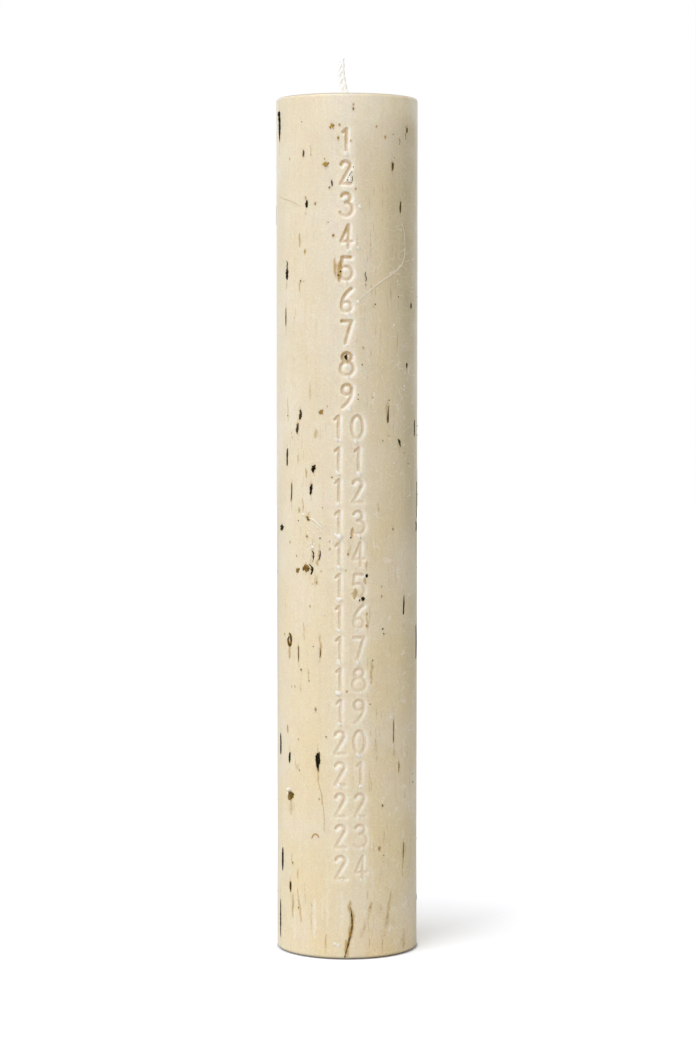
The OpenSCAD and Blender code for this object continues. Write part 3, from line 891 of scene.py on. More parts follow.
def veil_field(across, z):
    """Over the column of numerals, wide and soft to the left and with a sharp end on the right."""
    right_end = np.where(z > TWO_FIGURES_Z, ONE_VEIL_END, TWO_VEIL_END)
    veil = fade(-across, 2 * MM, 13 * MM) * fade(across, right_end - 0.5 * MM, right_end + 0.5 * MM)
    return veil * (0.35 + 0.5 * fade(-z, -250 * MM, -190 * MM))


def mark_wax(mesh):
    co, across, z = unrolled(mesh)
    on_side = np.hypot(co[:, 0], co[:, 1]) > WAX_R * 0.98
    stain, bloom, pit = np.zeros(len(z)), np.zeros(len(z)), np.zeros(len(z))
    for row in STREAKS:
        stain = np.maximum(stain, streak_field(across, z, *row))
    for row in BLOOM:
        bloom = np.maximum(bloom, streak_field(across, z, *row))
    for row in SLIVERS + CHIPS:
        turn, middle, length, width = row[:4]
        d = span_distance(across, z, turn, middle - length * 0.4, middle + length * 0.4)
        halo = 0.45 + 0.3 * row[-1] if len(row) > 6 else 0.4
        stain = np.maximum(stain, halo * np.clip(1.25 - d / ((width * 0.4 + 0.5) * MM), 0, 1))
        tail = (turn, middle + length * 0.9, middle - length, 0.35, 0.5)
        stain = np.maximum(stain, streak_field(across, z, *tail))
        pit = np.maximum(pit, fade(d, width * 0.3 * MM, (width * 0.5 + 0.5) * MM))
    for turn, middle, size, tone in SPECKS:
        d = span_distance(across, z, turn, middle - 0.5 * size, middle + 0.3 * size)
        spot = np.clip(1.2 - d / ((size * 0.4 + 0.35) * MM), 0, 1)
        stain = np.maximum(stain, (0.36 + 0.3 * tone) * spot)
    fields = {"stain": stain, "bloom": bloom, "pit": pit, "veil": veil_field(across, z)}
    for name, values in fields.items():
        note(mesh, name, values * on_side)


mark_wax(blank)
print("marks: stains, bloom, pits and veil on", len(blank.vertices), "points")

# %% [markdown]
# The pressing itself is a rule, so Geometry Nodes do it: the nearer a point is to a stroke's centre line,
# the deeper it goes. Round the groove the wax has sunk a little too, and just outside it stands up in a
# low lip. The tree also lets the whole side wander by a few hundredths of a millimetre, as cast wax does.
# For the material it stores how near the stroke is (`edge`), how hard the stamp pressed (`press`) and the
# sunk band (`trough`). Two more numbers measure the distance from the strokes as if they were moved:
# `gloom` is small on a groove's upper left wall, which the lamp doesn't reach, and `glare` on its lower
# right wall, which it does. The material paints shade on the first wall and light on the second.


# %% Helpers for Geometry Nodes
class Shop(Board):
    """The board of a Geometry Nodes tree with named inputs, which `given` holds as wires."""

    def __init__(self, name, **inputs):
        super().__init__(bpy.data.node_groups.new(name, "GeometryNodeTree"))
        sockets = self.tree.interface
        sockets.new_socket("Geometry", in_out="INPUT", socket_type="NodeSocketGeometry")
        sockets.new_socket("Geometry", in_out="OUTPUT", socket_type="NodeSocketGeometry")
        for label, kind in inputs.items():
            sockets.new_socket(label.replace("_", " "), in_out="INPUT", socket_type="NodeSocket" + kind)
        entry = self.tree.nodes.new("NodeGroupInput")
        self.given = {s.name: Wire(self, s) for s in entry.outputs if s.name}

    def named(self, name):
        return self.node("GeometryNodeInputNamedAttribute", {"Name": name}, data_type="FLOAT")

    def noted(self, geometry, numbers):
        """A geometry whose points carry some more numbers, given by name."""
        for name, value in numbers.items():
            sockets = {"Geometry": geometry, "Name": name, "Value": value}
            kinds = {"data_type": "FLOAT", "domain": "POINT"}
            geometry = self.node("GeometryNodeStoreNamedAttribute", sockets, **kinds)
        return geometry

    def together(self, *parts):
        join = self.tree.nodes.new("GeometryNodeJoinGeometry")
        for part in parts:
            self.tree.links.new(part.socket, join.inputs[0])
        return Wire(self, join.outputs[0])

    def outputs_of(self, kind, sockets, *names, **settings):
        """A wire for each named output of a new node."""
        first = self.node(kind, sockets, **settings)
        return [Wire(self, first.socket.node.outputs[name]) for name in names]

    def close(self, result):
        """Ends the tree: instances become real, and the result gets the given material."""
        real = self.node("GeometryNodeRealizeInstances", {0: result})
        sockets = {"Geometry": real, "Material": self.given["Material"]}
        end = self.tree.nodes.new("NodeGroupOutput")
        self.put(end.inputs[0], self.node("GeometryNodeSetMaterial", sockets))
        return self.tree


def grown(name, mesh, tree, **values):
    """The plain mesh object that a tree makes of a mesh. The values are its inputs, with _ for a space."""
    start = placed(name + "_start", mesh)
    modifier = start.modifiers.new("grow", "NODES")
    modifier.node_group = tree
    for item in tree.interface.items_tree:
        key = item.name.replace(" ", "_")
        if item.in_out == "INPUT" and key in values:
            modifier[item.identifier] = values[key]
    ready = start.evaluated_get(bpy.context.evaluated_depsgraph_get())
    result = bpy.data.meshes.new_from_object(ready)
    start.modifiers.clear()
    bpy.data.objects.remove(start)
    return placed(name, result)


# %% The tree that presses the numerals
def press_tree():
    sizes = {name: "Float" for name in ("Share", "Floor", "Wall", "Trough", "Lip", "Wander", "Pit")}
    shop = Shop("press_numerals", Strokes="Object", **sizes, Material="Material")
    given = shop.given
    lines = shop.node("GeometryNodeObjectInfo", {"Object": given["Strokes"]}, out="Geometry")
    place = shop.node("GeometryNodeInputPosition")

    def distance_from(spot):
        sockets = {0: lines, "Sample Position": spot}
        return shop.node("GeometryNodeProximity", sockets, out="Distance", target_element="EDGES")

    def seen_from(across, up):
        """The distance in millimetres from a stroke, as if each point were moved first."""
        return distance_from(shop.vector("ADD", place, (across, 0, up))) * (1 / MM)

    nearest = shop.node("GeometryNodeSampleNearest", {"Geometry": lines}, domain="POINT")
    sockets = {"Geometry": lines, "Value": shop.named("push"), "Index": nearest}
    push = shop.node("GeometryNodeSampleIndex", sockets)

    wobble = shop.noise(place, 1500.0, 1.0)
    near = distance_from(place) + (wobble - 0.5) * (0.28 * MM)
    groove = shop.step(near, given["Floor"], given["Floor"] + given["Wall"], rise=False)
    trough = shop.step(near, 0.9 * MM, 3.3 * MM, rise=False)
    lip = shop.step(near, 0.85 * MM, 1.25 * MM) * shop.step(near, 1.3 * MM, 1.9 * MM, rise=False)
    ragged = 0.4 + 1.2 * shop.noise(place, 1100.0, 3.0)
    depth = push * given["Share"] * (groove + trough * given["Trough"] - lip * given["Lip"] * ragged)
    sway = shop.noise(shop.vector("MULTIPLY", place, (55, 55, 14)), 1.0)
    inward = depth + (sway - 0.5) * given["Wander"] + shop.named("pit") * given["Pit"]

    height = shop.node("ShaderNodeSeparateXYZ", {0: place}, out="Z")
    side = shop.step(height, 1.2 * MM, 4 * MM)
    side = side * shop.step(height, WAX_TOP - 4 * MM, WAX_TOP - 1 * MM, rise=False)
    flat, radius = shop.from_axis(place)
    at_skin = shop.step(radius, WAX_R * 0.97, WAX_R * 0.99)
    move = shop.scaled(shop.vector("NORMALIZE", flat), inward * side * at_skin * -1)
    pale = trough * (0.75 + 0.25 * shop.step(push, TWO_DEPTH * 0.9, ONE_DEPTH))
    # gloom and glare place the painted shade and painted light of the wax material
    kept = {
        "gloom": seen_from(0.29 * MM, -0.24 * MM), "glare": seen_from(-0.42 * MM, 0.34 * MM),
        "edge": near * (1 / MM), "press": push * at_skin * (1 / ONE_DEPTH), "trough": pale * at_skin,
    }
    sockets = {"Geometry": shop.noted(given["Geometry"], kept), "Offset": move}
    return shop.close(shop.node("GeometryNodeSetPosition", sockets))


# %% Press the numerals into the blank
def stroke_object():
    """The centre lines wrapped round the wax, with the depth of the pressing at each point."""
    points, edges, push = [], [], []
    for line, depths in STROKES:
        edges += [(len(points) + i, len(points) + i + 1) for i in range(len(line) - 1)]
        points += [on_wax(math.degrees(x / WAX_R), z) for x, z in line]
        push += depths
    mesh = bpy.data.meshes.new("strokes")
    mesh.from_pydata([tuple(p) for p in points], edges, [])
    note(mesh, "push", push)
    return placed("strokes", mesh)


strokes = stroke_object()
pillar = grown("pillar", blank, press_tree(), Strokes=strokes, Share=0.88, Floor=0.2 * MM,
               Wall=0.7 * MM, Trough=0.25, Lip=0.15, Wander=0.16 * MM, Pit=PIT, Material=wax)
bpy.data.objects.remove(strokes)
pillar.data.shade_smooth()
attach(pillar, "root")
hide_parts("wax_pillar")
pillar.data.calc_loop_triangles()
print("pillar:", len(pillar.data.loop_triangles), "triangles")

# %% [markdown]
# ## Slivers, chips and the stalk
#
# A sliver is torn bark: a long flake with a ragged edge, thicker in the middle, that lies flush in the
# wax and curves with it. A box with a rough material would keep its straight edges. So a flake is swept
# as rings along its length, with a noise that roughens each ring, and wrapped round the pillar. Two
# thinner splinters beside it make the sliver end in several points.


# %% One torn flake, wrapped round the wax
def swept(sections, sides):
    """Faces of rings of points, listed ring by ring, that are closed by a point at each end."""
    faces = []
    for s in range(sides):
        k = (s + 1) % sides
        faces.append((0, 1 + k, 1 + s))
        for r in range(sections - 1):
            a = 1 + r * sides
            faces.append((a + s, a + k, a + sides + k, a + sides + s))
        a = 1 + (sections - 1) * sides
        faces.append((a + s, a + k, 1 + sections * sides))
    return faces


def facing(turn):
    """1 for a piece on the front or the back, 0 for one at the sides."""
    return abs(math.cos(math.radians(turn)))


def flake(row, seed, sections=22, sides=10, rough_by=0.45):
    """Points, faces and tones of one torn flake, from a row of turn, height, length, width and looks."""
    turn, middle, length, width, lean, taper, bend, tone = row
    thick = 0.3 + 0.35 * width
    spread = (1.15 - 1.2 * min(0.5, tone)) * (1 + 2.4 * (1 - facing(turn)) ** 1.5)
    proud = 0.09 if facing(turn) > 0.1 else -0.02
    tilt = math.radians(lean)
    points, tones = [], []

    def place(u, v, w, t):
        across = u * math.cos(tilt) + v * math.sin(tilt)
        up = v * math.cos(tilt) - u * math.sin(tilt)
        points.append(on_wax(turn + math.degrees(across * MM / WAX_R), (middle + up) * MM, w * MM))
        tones.append(t)

    place(0, -length / 2, -0.05, tone)
    for i in range(sections):
        k = (i + 0.5) / sections
        swell = math.sin(math.pi * k) ** 0.55 * (1 + taper * (2 * k - 1))
        rough = noise.noise((seed * 7.3, k * length * 1.1, 2.0))
        torn = noise.noise((seed * 5.7, k * length * 2.3, 4.0))
        shift = bend * math.sin(math.pi * k)
        shift += 0.16 * width * noise.noise((seed * 3.1, k * length * 0.8, 9.0))
        half = spread * width / 2 * swell * (1 + 1.5 * rough_by * rough + 0.6 * rough_by * torn)
        half = max(0.06, half)
        ends = 0.3 * max(0, abs(2 * k - 1) - 0.7) / 0.3
        shade = tone + 0.35 * max(0, rough) + ends
        for s in range(sides):
            a = 2 * math.pi * s / sides
            spot = (seed + 1.4 * math.cos(a), k * length * 1.8, 1.4 * math.sin(a))
            jag = 1 + rough_by * noise.noise(spot)
            lift = proud if math.sin(a) > 0 else thick
            out = 0.03 + lift * math.sin(a) * min(1, swell * 1.2) * jag
            place(shift + half * math.cos(a) * jag, length * (k - 0.5), out, shade)
    place(0, length / 2, -0.05, tone)
    return points, swept(sections, sides), tones


def joined(parts):
    """Several lists of points, faces and tones as one."""
    points, faces, tones = [], [], []
    for more_points, more_faces, more_tones in parts:
        faces += [tuple(i + len(points) for i in face) for face in more_faces]
        points += more_points
        tones += more_tones
    return points, faces, tones


def split_flake(row, seed):
    """A flake with two thinner splinters beside it, so that it ends in several points."""
    turn, middle, length, width, lean, taper, bend, tone = row
    core = (turn, middle, length * 0.86, width * 0.8, lean, taper, bend, tone)
    parts = [flake(core, seed, rough_by=0.45 + 0.5 * min(0.5, max(0, width - 1)))]
    for side in (-1, 1):
        pull = noise.noise((seed * 2.9, side * 4.1, 0.7))
        aside = side * (0.3 + 0.5 * abs(pull)) * width * (1.6 - facing(turn))
        beside = turn + math.degrees(aside * MM / WAX_R)
        up = side * (0.16 + 0.2 * pull) * length
        size = (length * (0.45 + 0.2 * pull), width * 0.4)
        looks = (lean + 8 * pull, taper, bend, tone + 0.1 + 0.25 * abs(pull))
        parts.append(flake((beside, middle + up, *size, *looks), seed + 0.5 * side))
    return joined(parts)


# %% Torn bark slivers on the front, in place of the solid model's
for i, row in enumerate(SLIVERS):
    points, faces, tones = split_flake(row, i + 1)
    piece = plain_object(f"torn_sliver_{i + 1:02d}", points, faces, bark, tone=tones)
    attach(piece, "root")
    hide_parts(f"bark_sliver_{i + 1:02d}")
print("front:", len(SLIVERS), "slivers")

# %% [markdown]
# No photograph shows the back, so its slivers follow a rule instead of a list: multiples of the golden
# ratio spread them evenly and without rows, at about the density of the front. The solid model has the
# same rule.

# %% Slivers on the back
BACK_COUNT = 24
BACK_START = 86
BACK_ARC = 188
GOLDEN = 0.618
END_GAP = 12
WAX_LONG = 302


def back_row(i):
    """A row like those of the list, in degrees and millimetres, for sliver i of the back."""
    turn = BACK_START + BACK_ARC * (i * GOLDEN % 1)
    z = END_GAP + (WAX_LONG - 2 * END_GAP) * (i + 0.5) / BACK_COUNT
    size = (2.5 + 6 * (i * 0.377 % 1), 0.5 + 0.9 * (i * 0.731 % 1))
    lean = 6 * math.sin(math.radians(i * 97))
    looks = (0.5 * math.sin(i * 2.1), 0.3 * math.sin(i * 1.3), 0.25 * (i * 0.47 % 1))
    return (turn, z, *size, lean, *looks)


points, faces, tones = joined([split_flake(back_row(i), 100 + i) for i in range(BACK_COUNT)])
back = plain_object("torn_slivers_back", points, faces, bark, tone=tones)
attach(back, "root")
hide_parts("back_slivers")
print("back:", BACK_COUNT, "slivers")

# %% [markdown]
# Stalk, fibres and threads are thin and round. A bevelled curve would do, but its thickness can't be
# ragged. So one more sweep takes a few points on the wax, draws a smooth path through them, and lets a
# function say how thick and how brown the rod is at each share of its length.


# %% A thin round piece along a path on the wax
def smooth_path(path, per_gap=5):
    """More points on a smooth curve through a path of (turn, height in mm)."""
    spots = [Vector((turn, z, 0)) for turn, z in path]
    fine = []
    for i in range(len(spots) - 1):
        before, after = spots[max(i - 1, 0)], spots[min(i + 2, len(spots) - 1)]
        start, end = spots[i], spots[i + 1]
        for k in np.linspace(0, 1, per_gap, endpoint=False):
            pull = ((end - before) * (1 - k) - (after - start) * k) * (k * (1 - k) / 2)
            fine.append(start.lerp(end, k * k * (3 - 2 * k)) + pull)
    return fine + [spots[-1]]


def rod(path, radius_of, tone_of, seed, sides=8, out=0.0):
    """Points, faces and tones of a rod along a path, with its radius in mm and its tone by share."""
    fine = smooth_path(path)
    points, tones, last = [], [], len(fine) - 1
    for i, spot in enumerate(fine):
        k = i / last
        ahead, behind = fine[min(i + 1, last)], fine[max(i - 1, 0)]
        centre = on_wax(spot.x, spot.y * MM, out * MM)
        along = (on_wax(ahead.x, ahead.y * MM) - on_wax(behind.x, behind.y * MM)).normalized()
        normal = on_wax(spot.x, 0).normalized()
        beside = along.cross(normal)
        if i == 0:
            points.append(centre - along * radius_of(k) * MM)
            tones.append(tone_of(k))
        for s in range(sides):
            a = 2 * math.pi * s / sides
            uneven = 1 + 0.25 * noise.noise((seed + math.cos(a), i * 0.4, math.sin(a)))
            ray = beside * math.cos(a) + normal * math.sin(a)
            points.append(centre + ray * (radius_of(k) * MM * uneven))
            tones.append(tone_of(k))
        if i == last:
            points.append(centre + along * radius_of(k) * MM)
            tones.append(tone_of(k))
    return points, swept(last + 1, sides), tones


# %% [markdown]
# A chip is broken husk or bark, about as wide as it is long. It is a heap of six small crumbs, each a
# short flake with a shade of its own, because one flake would look like a smooth pebble. One husk has
# curled up, so it is a rod along a loop.

# %% Chips
CRUMBS = 6
CURLED = 5
CURL = [
    (-54.5, 114), (-52.6, 113.4), (-51.6, 112), (-52, 110.6), (-53.6, 109.8), (-55.4, 110.6),
    (-55.9, 112), (-54.6, 112.8),
]


def broken_chip(row, seed):
    """A chip as a heap of small crumbs of husk, of several shades."""
    turn, middle, length, width, lean, tone = row
    parts = []
    for k in range(CRUMBS):
        a = 2.4 * k + seed
        far = 0.42 * math.sqrt(k / (CRUMBS - 1))
        beside = turn + math.degrees(far * width * math.cos(a) * MM / WAX_R)
        up = far * length * math.sin(a)
        size = 0.41 + 0.32 * abs(noise.noise((seed * 1.7, k * 2.3, 0.4)))
        looks = (lean + 70 * math.sin(a), 0.3, 0.1, tone + 0.35 * noise.noise((seed, k * 1.9, 3.1)))
        crumb = (beside, middle + up, length * size * 1.4, width * size, *looks)
        parts.append(flake(crumb, seed + k * 3.7, sections=9, sides=8, rough_by=0.6))
    return joined(parts)


def curl_radius(k):
    return 0.22 + 0.3 * abs(math.sin(math.pi * k)) ** 0.6 + 0.14 * noise.noise((k * 9, 2.0, 6.0))


def curl_tone(k):
    return 0.42 + 0.5 * noise.noise((k * 11, 5.0, 3.0))


for i, row in enumerate(CHIPS):
    if i == CURLED:
        points, faces, tones = rod(CURL, curl_radius, curl_tone, 3, out=-0.1)
    else:
        points, faces, tones = broken_chip(row, 60 + i)
    piece = plain_object(f"husk_chip_{i + 1:02d}", points, faces, husk, tone=tones)
    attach(piece, "root")
    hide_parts(f"seed_husk_{i + 1:02d}")
print("front:", len(CHIPS), "chips")

# %% [markdown]
# The dry stalk at the foot is the longest plant piece: a crooked stem that is thick in the middle,
# knotty, and amber with darker patches. It is a rod with more sides, sunk a little into the wax.


# %% The dry stalk at the foot
def stalk_radius(k):
    return 0.28 + 0.26 * math.sin(math.pi * k) ** 1.5 + 0.12 * noise.noise((k * 12, 1.0, 8.0))


def stalk_tone(k):
    return 0.74 - 0.9 * abs(noise.noise((k * 9, 4.0, 1.0))) - 0.35 * max(0, k - 0.75) / 0.25


points, faces, tones = rod(STALK, stalk_radius, stalk_tone, 5, sides=12, out=-0.3)
stalk = plain_object("stalk_at_foot", points, faces, husk, tone=tones)
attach(stalk, "root")
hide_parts("dry_stalk")
print("stalk:", len(faces), "faces")

# %% [markdown]
# Finer things lie on the wax too: an arched amber fibre, dark threads beside the numerals and at the
# edges, a thread of wax that a nail has scratched up in a long curve, and a fan of short ridges. They are
# all rods along a path. Those of plant are joined to one piece, those of wax to another.

# %% Fibres, each a path, a radius and a tone, and scratched threads, each a path and a radius
FIBRES = [
    ([(-29.5, 42.4), (-28.5, 43.5), (-26.5, 44.1), (-24.5, 43.8), (-23, 42.9)], 0.22, 0.9),
    ([(-72, 267.4), (-62, 266.2), (-52, 265.3), (-39, 263.1)], 0.05, 0.95),
    ([(-24, 64.8), (-22.8, 61.5), (-20.6, 57), (-19, 52), (-18, 47.8)], 0.06, 0.95),
    ([(15, 240.5), (14.5, 239.3), (15.6, 238.2), (15, 237.2)], 0.16, 0.4),
    ([(77.5, 116), (78.5, 110), (77.5, 104)], 0.2, 0.05), ([(81, 167), (82, 160), (81, 154)], 0.14, 0.3),
    ([(77, 153), (78, 151.5), (77.5, 149.5)], 0.2, 0.1),
    ([(46, 287), (47.5, 285.8), (46.5, 284.6)], 0.08, 0.45),
    ([(55, 291.5), (56, 290), (54.5, 288), (55.5, 286.5)], 0.07, 0.45),
    ([(-57.5, 244.6), (-56, 243.6), (-56.8, 242.8), (-56, 241.8)], 0.2, 0.15),
    ([(3.8, 275), (2.2, 273.9), (0.6, 272.6)], 0.09, 0.3),
    ([(4.6, 273.4), (4.2, 272.5), (4.5, 271.7)], 0.1, 0.35),
    ([(1.2, 271.3), (2.6, 271.1), (4.2, 271.3)], 0.06, 0.45),
]
RIDGES = [
    ([(7, 229.5), (16, 233.2), (28, 237.1), (40, 240.2), (49, 243), (53, 245.8), (54, 249.5)], 0.14),
    ([(54, 249.5), (53, 254), (50, 258)], 0.08), ([(14, 247.5), (20, 249), (28, 251.8)], 0.09),
    ([(-32, 155), (-28.5, 154.6), (-25, 153.6), (-19, 151.5)], 0.3),
    ([(-31, 153.8), (-25, 152.2), (-17.5, 149.4)], 0.15),
    ([(-33, 151.6), (-28, 150.4), (-22, 148)], 0.12), ([(-34, 149.6), (-29, 148.4), (-24, 146.4)], 0.1),
    ([(-29, 156.2), (-22, 153.8), (-15, 151)], 0.1), ([(-33, 152.8), (-28, 151.6), (-20, 148.6)], 0.08),
    ([(-36, 147), (-33, 146.2), (-31, 145.2)], 0.09), ([(18, 150), (22, 147), (23, 143)], 0.08),
    ([(-33, 156.6), (-31.5, 157.6), (-29.5, 157)], 0.2), ([(-16, 152), (-13, 150.4), (-10.5, 149)], 0.12),
]


def thin_ends(radius):
    return lambda k: radius * (0.35 + 0.65 * math.sin(math.pi * k) ** 0.5)


def even(value):
    return lambda k: value


parts = [rod(path, thin_ends(r), even(tone), i, out=r * 0.3) for i, (path, r, tone) in enumerate(FIBRES)]
points, faces, tones = joined(parts)
fibres = plain_object("plant_fibres", points, faces, husk, tone=tones)
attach(fibres, "root")
parts = [rod(path, thin_ends(r), even(0), i, out=r * 0.5) for i, (path, r) in enumerate(RIDGES)]
points, faces, tones = joined(parts)
ridges = plain_object("scratched_wax", points, faces, crumbled)
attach(ridges, "root")
print("threads:", len(FIBRES), "of plant and", len(RIDGES), "of wax")

# %% [markdown]
# Specks repeat, so Geometry Nodes set them: one rough grain is instanced on points that carry a size and
# a tone, laid flat against the wax and turned at random. The points on the front are the ones in the
# list. On the back, where nothing is known, a fixed seed scatters them over the wax at about the same
# density.


# %% The tree that sets specks on the wax
def speck_tree():
    inputs = {"Wax": "Object", "Back_density": "Float", "Seed": "Int", "Flatness": "Float"}
    shop = Shop("set_specks", **inputs, Material="Material")
    given = shop.given

    def between(low, high, shift):
        """A random number for each point, of a seed that is shifted for each use."""
        sockets = {2: low, 3: high, "Seed": given["Seed"] + shift}
        return shop.node("FunctionNodeRandomValue", sockets, out=1, data_type="FLOAT")

    skin = shop.node("GeometryNodeObjectInfo", {"Object": given["Wax"]}, out="Geometry")
    place = shop.node("GeometryNodeInputPosition")
    y = shop.node("ShaderNodeSeparateXYZ", {0: place}, out="Y")
    z = shop.node("ShaderNodeSeparateXYZ", {0: place}, out="Z")
    flat, radius = shop.from_axis(place)
    on_back = shop.step(y, -0.2 * WAX_R, 0.2 * WAX_R) * shop.step(radius, WAX_R * 0.98, WAX_R * 0.99)
    off_ends = shop.step(z, 2 * MM, 4 * MM) * shop.step(z, WAX_TOP - 4 * MM, WAX_TOP - 2 * MM, rise=False)
    sockets = {"Mesh": skin, "Density": given["Back density"] * on_back * off_ends, "Seed": given["Seed"]}
    scattered = shop.node("GeometryNodeDistributePointsOnFaces", sockets, out="Points")
    scattered = shop.noted(scattered, {"size": between(0.4, 1.1, 1) * MM, "tone": between(0.0, 1.0, 2)})
    listed = shop.node("GeometryNodeMeshToPoints", {"Mesh": given["Geometry"]})

    size = shop.named("size")
    long, wide = size * between(0.35, 0.8, 3), size * between(0.2, 0.42, 5)
    scale = shop.node("ShaderNodeCombineXYZ", {0: wide, 1: long, 2: size * given["Flatness"]})
    outward = shop.node("FunctionNodeAlignRotationToVector", {"Vector": flat}, axis="Z")
    sockets = {"Axis": (0, 0, 1), "Angle": between(0, 6.28, 4)}
    spin = shop.node("FunctionNodeAxisAngleToRotation", sockets)
    turn = shop.node("FunctionNodeRotateRotation", {0: outward, 1: spin}, rotation_space="LOCAL")
    grain = shop.node("GeometryNodeMeshIcoSphere", {"Radius": 1.0, "Subdivisions": 2})
    places = shop.together(listed, scattered)
    sockets = {"Points": places, "Instance": grain, "Rotation": turn, "Scale": scale}
    specks = shop.node("GeometryNodeInstanceOnPoints", sockets)
    real = shop.node("GeometryNodeRealizeInstances", {0: specks})

    ragged = shop.noise(place, 2600.0, 3.0, out="Color")
    offset = shop.scaled(shop.vector("ADD", ragged, (-0.5, -0.5, -0.5)), 0.7 * MM)
    return shop.close(shop.node("GeometryNodeSetPosition", {"Geometry": real, "Offset": offset}))


# %% Set the specks
def speck_points(rows):
    """Points just under the skin of the wax, for rows of a turn, a height, a size and a tone."""
    mesh = bpy.data.meshes.new("speck_points")
    mesh.from_pydata([tuple(on_wax(turn, z * MM, -0.02 * MM)) for turn, z, size, tone in rows], [], [])
    note(mesh, "size", [row[2] * MM for row in rows])
    note(mesh, "tone", [row[3] for row in rows])
    return mesh


specks = grown("specks", speck_points(SPECKS), speck_tree(), Wax=pillar, Back_density=6500.0, Seed=24,
               Flatness=0.16, Material=husk)
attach(specks, "root")
print("specks:", len(specks.data.polygons), "faces")

# %% [markdown]
# White blisters and crumbs of wax catch the light here and there, most of all under the figures, where
# the stamp has pushed wax out. Their white is partly painted light: the listed blisters sit where the wax
# glints, one group as the highlight on a chip. The same tree sets them, with crumbled wax in place of
# husk. The list holds those that the photograph shows best, and a loop adds the stamp's.

# %% Wax blisters, whose white paints glints: turn, height and size
GLINT_BLISTERS = [
    (2.6, 272.6, 1.5), (2.2, 271.9, 1.2), (7, 264.2, 0.8), (17, 247.6, 0.7), (49, 255.2, 0.6),
    (41, 222.3, 0.7), (53, 201, 0.8), (53, 199.6, 0.7), (39, 209.7, 0.6), (-28.5, 145, 1.2),
    (-27, 146, 0.8), (41, 174, 0.6), (-30, 146.2, 0.9), (-31.2, 144.4, 0.9), (-37.9, 156.2, 1.1),
    (-56, 58.5, 1.6), (-53.5, 58.9, 1.2), (-57, 57, 1.2), (-9.5, 5.6, 1.3), (-6.4, 5.2, 1.1),
    (10.5, 263, 1.4), (9, 248.8, 1.2), (9, 230, 1.3), (-33, 150, 0.7), (-23, 150.5, 0.7),
    (-12, 146.8, 0.9), (-10, 168, 0.7), (12, 172, 0.7), (18, 97, 0.8), (45, 97.1, 0.8), (38, 84.9, 0.8),
    (-8, 4.8, 0.9), (45, 10.1, 0.6), (24, 11.4, 0.6),
]


def stamp_crumbs():
    """White crumbs that the stamp left under each figure, as rows of a turn, a height and a size."""
    rows = []
    for i, (n, across, z, depth) in enumerate(stamped_figures()):
        low = z - NUMERAL_H / 2
        for k in range(4 if n == 1 else 1):
            shift = 1.1 * noise.noise((i * 3.3, k * 2.7, 0.5)) * (1 if n == 1 else 2) * MM
            drop = 0.9 * noise.noise((i * 1.9, k * 4.1, 7.5)) * MM
            size = 1.15 + 1.2 * noise.noise((i * 2.3, k * 1.3, 3.5))
            rows.append((math.degrees((across + shift) / WAX_R), (low + drop) / MM, size))
    return rows


pale_rows = [(*row, 0) for row in GLINT_BLISTERS + stamp_crumbs()]
blisters = grown("wax_blisters", speck_points(pale_rows), speck_tree(), Wax=pillar, Back_density=350.0,
                 Seed=7, Flatness=0.3, Material=crumbled)
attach(blisters, "root")
print("blisters:", len(blisters.data.polygons), "faces")

# %% [markdown]
# ## The wick
#
# The wick is a flat plait of three strands, and each strand is a handful of twisted yarns. The strands
# follow the solid model's figure of eight, in a plait that is a little flatter, because the yarns make
# them thicker.

# %% Paths of the three strands
WICK_OUT = 14.4 * MM
WICK_BEND = 1.9 * MM
BEND_END = 10 * MM
SLIM_LONG = 8 * MM
PLAIT_PITCH = 7.5 * MM
PLAIT_WIDE = 0.78 * MM
PLAIT_DEEP = 0.36 * MM
PLAIT_FOOT = WAX_TOP - 10 * MM
YARNS_FOOT = WAX_TOP - 4 * MM
PATH_STEP = 0.12 * MM
STAGGER = 0.4 * MM


def strand_at(k, z):
    """The middle of strand k at height z."""
    t = 2 * math.pi * (max(0, z - PLAIT_FOOT) / PLAIT_PITCH + k / 3)
    bent = -WICK_BEND * math.sin(math.pi / 2 * min(1, max(0, (z - WAX_TOP) / BEND_END)))
    slim = 1 - 0.35 * min(1, max(0, (z - WAX_TOP - WICK_OUT + SLIM_LONG) / SLIM_LONG))
    return Vector((bent + slim * PLAIT_WIDE * math.sin(t), slim * PLAIT_DEEP * math.sin(2 * t), z))


def strand_mesh(k):
    """A chain of edges up the free end of strand k."""
    top = WAX_TOP + WICK_OUT - STAGGER * k
    path = [tuple(strand_at(k, z)) for z in np.arange(YARNS_FOOT, top, PATH_STEP)]
    mesh = bpy.data.meshes.new("strand_path")
    mesh.from_pydata(path, [(i, i + 1) for i in range(len(path) - 1)], [])
    return mesh


print("strands:", [len(strand_mesh(k).vertices) for k in range(3)], "points in their free ends")

# %% [markdown]
# A twist is a rule along a path, so Geometry Nodes wind it: the strand's path is copied once for each
# yarn, the copies are wound round it, and each gets a round profile. Tiny cones stand out of the yarns as
# lint.


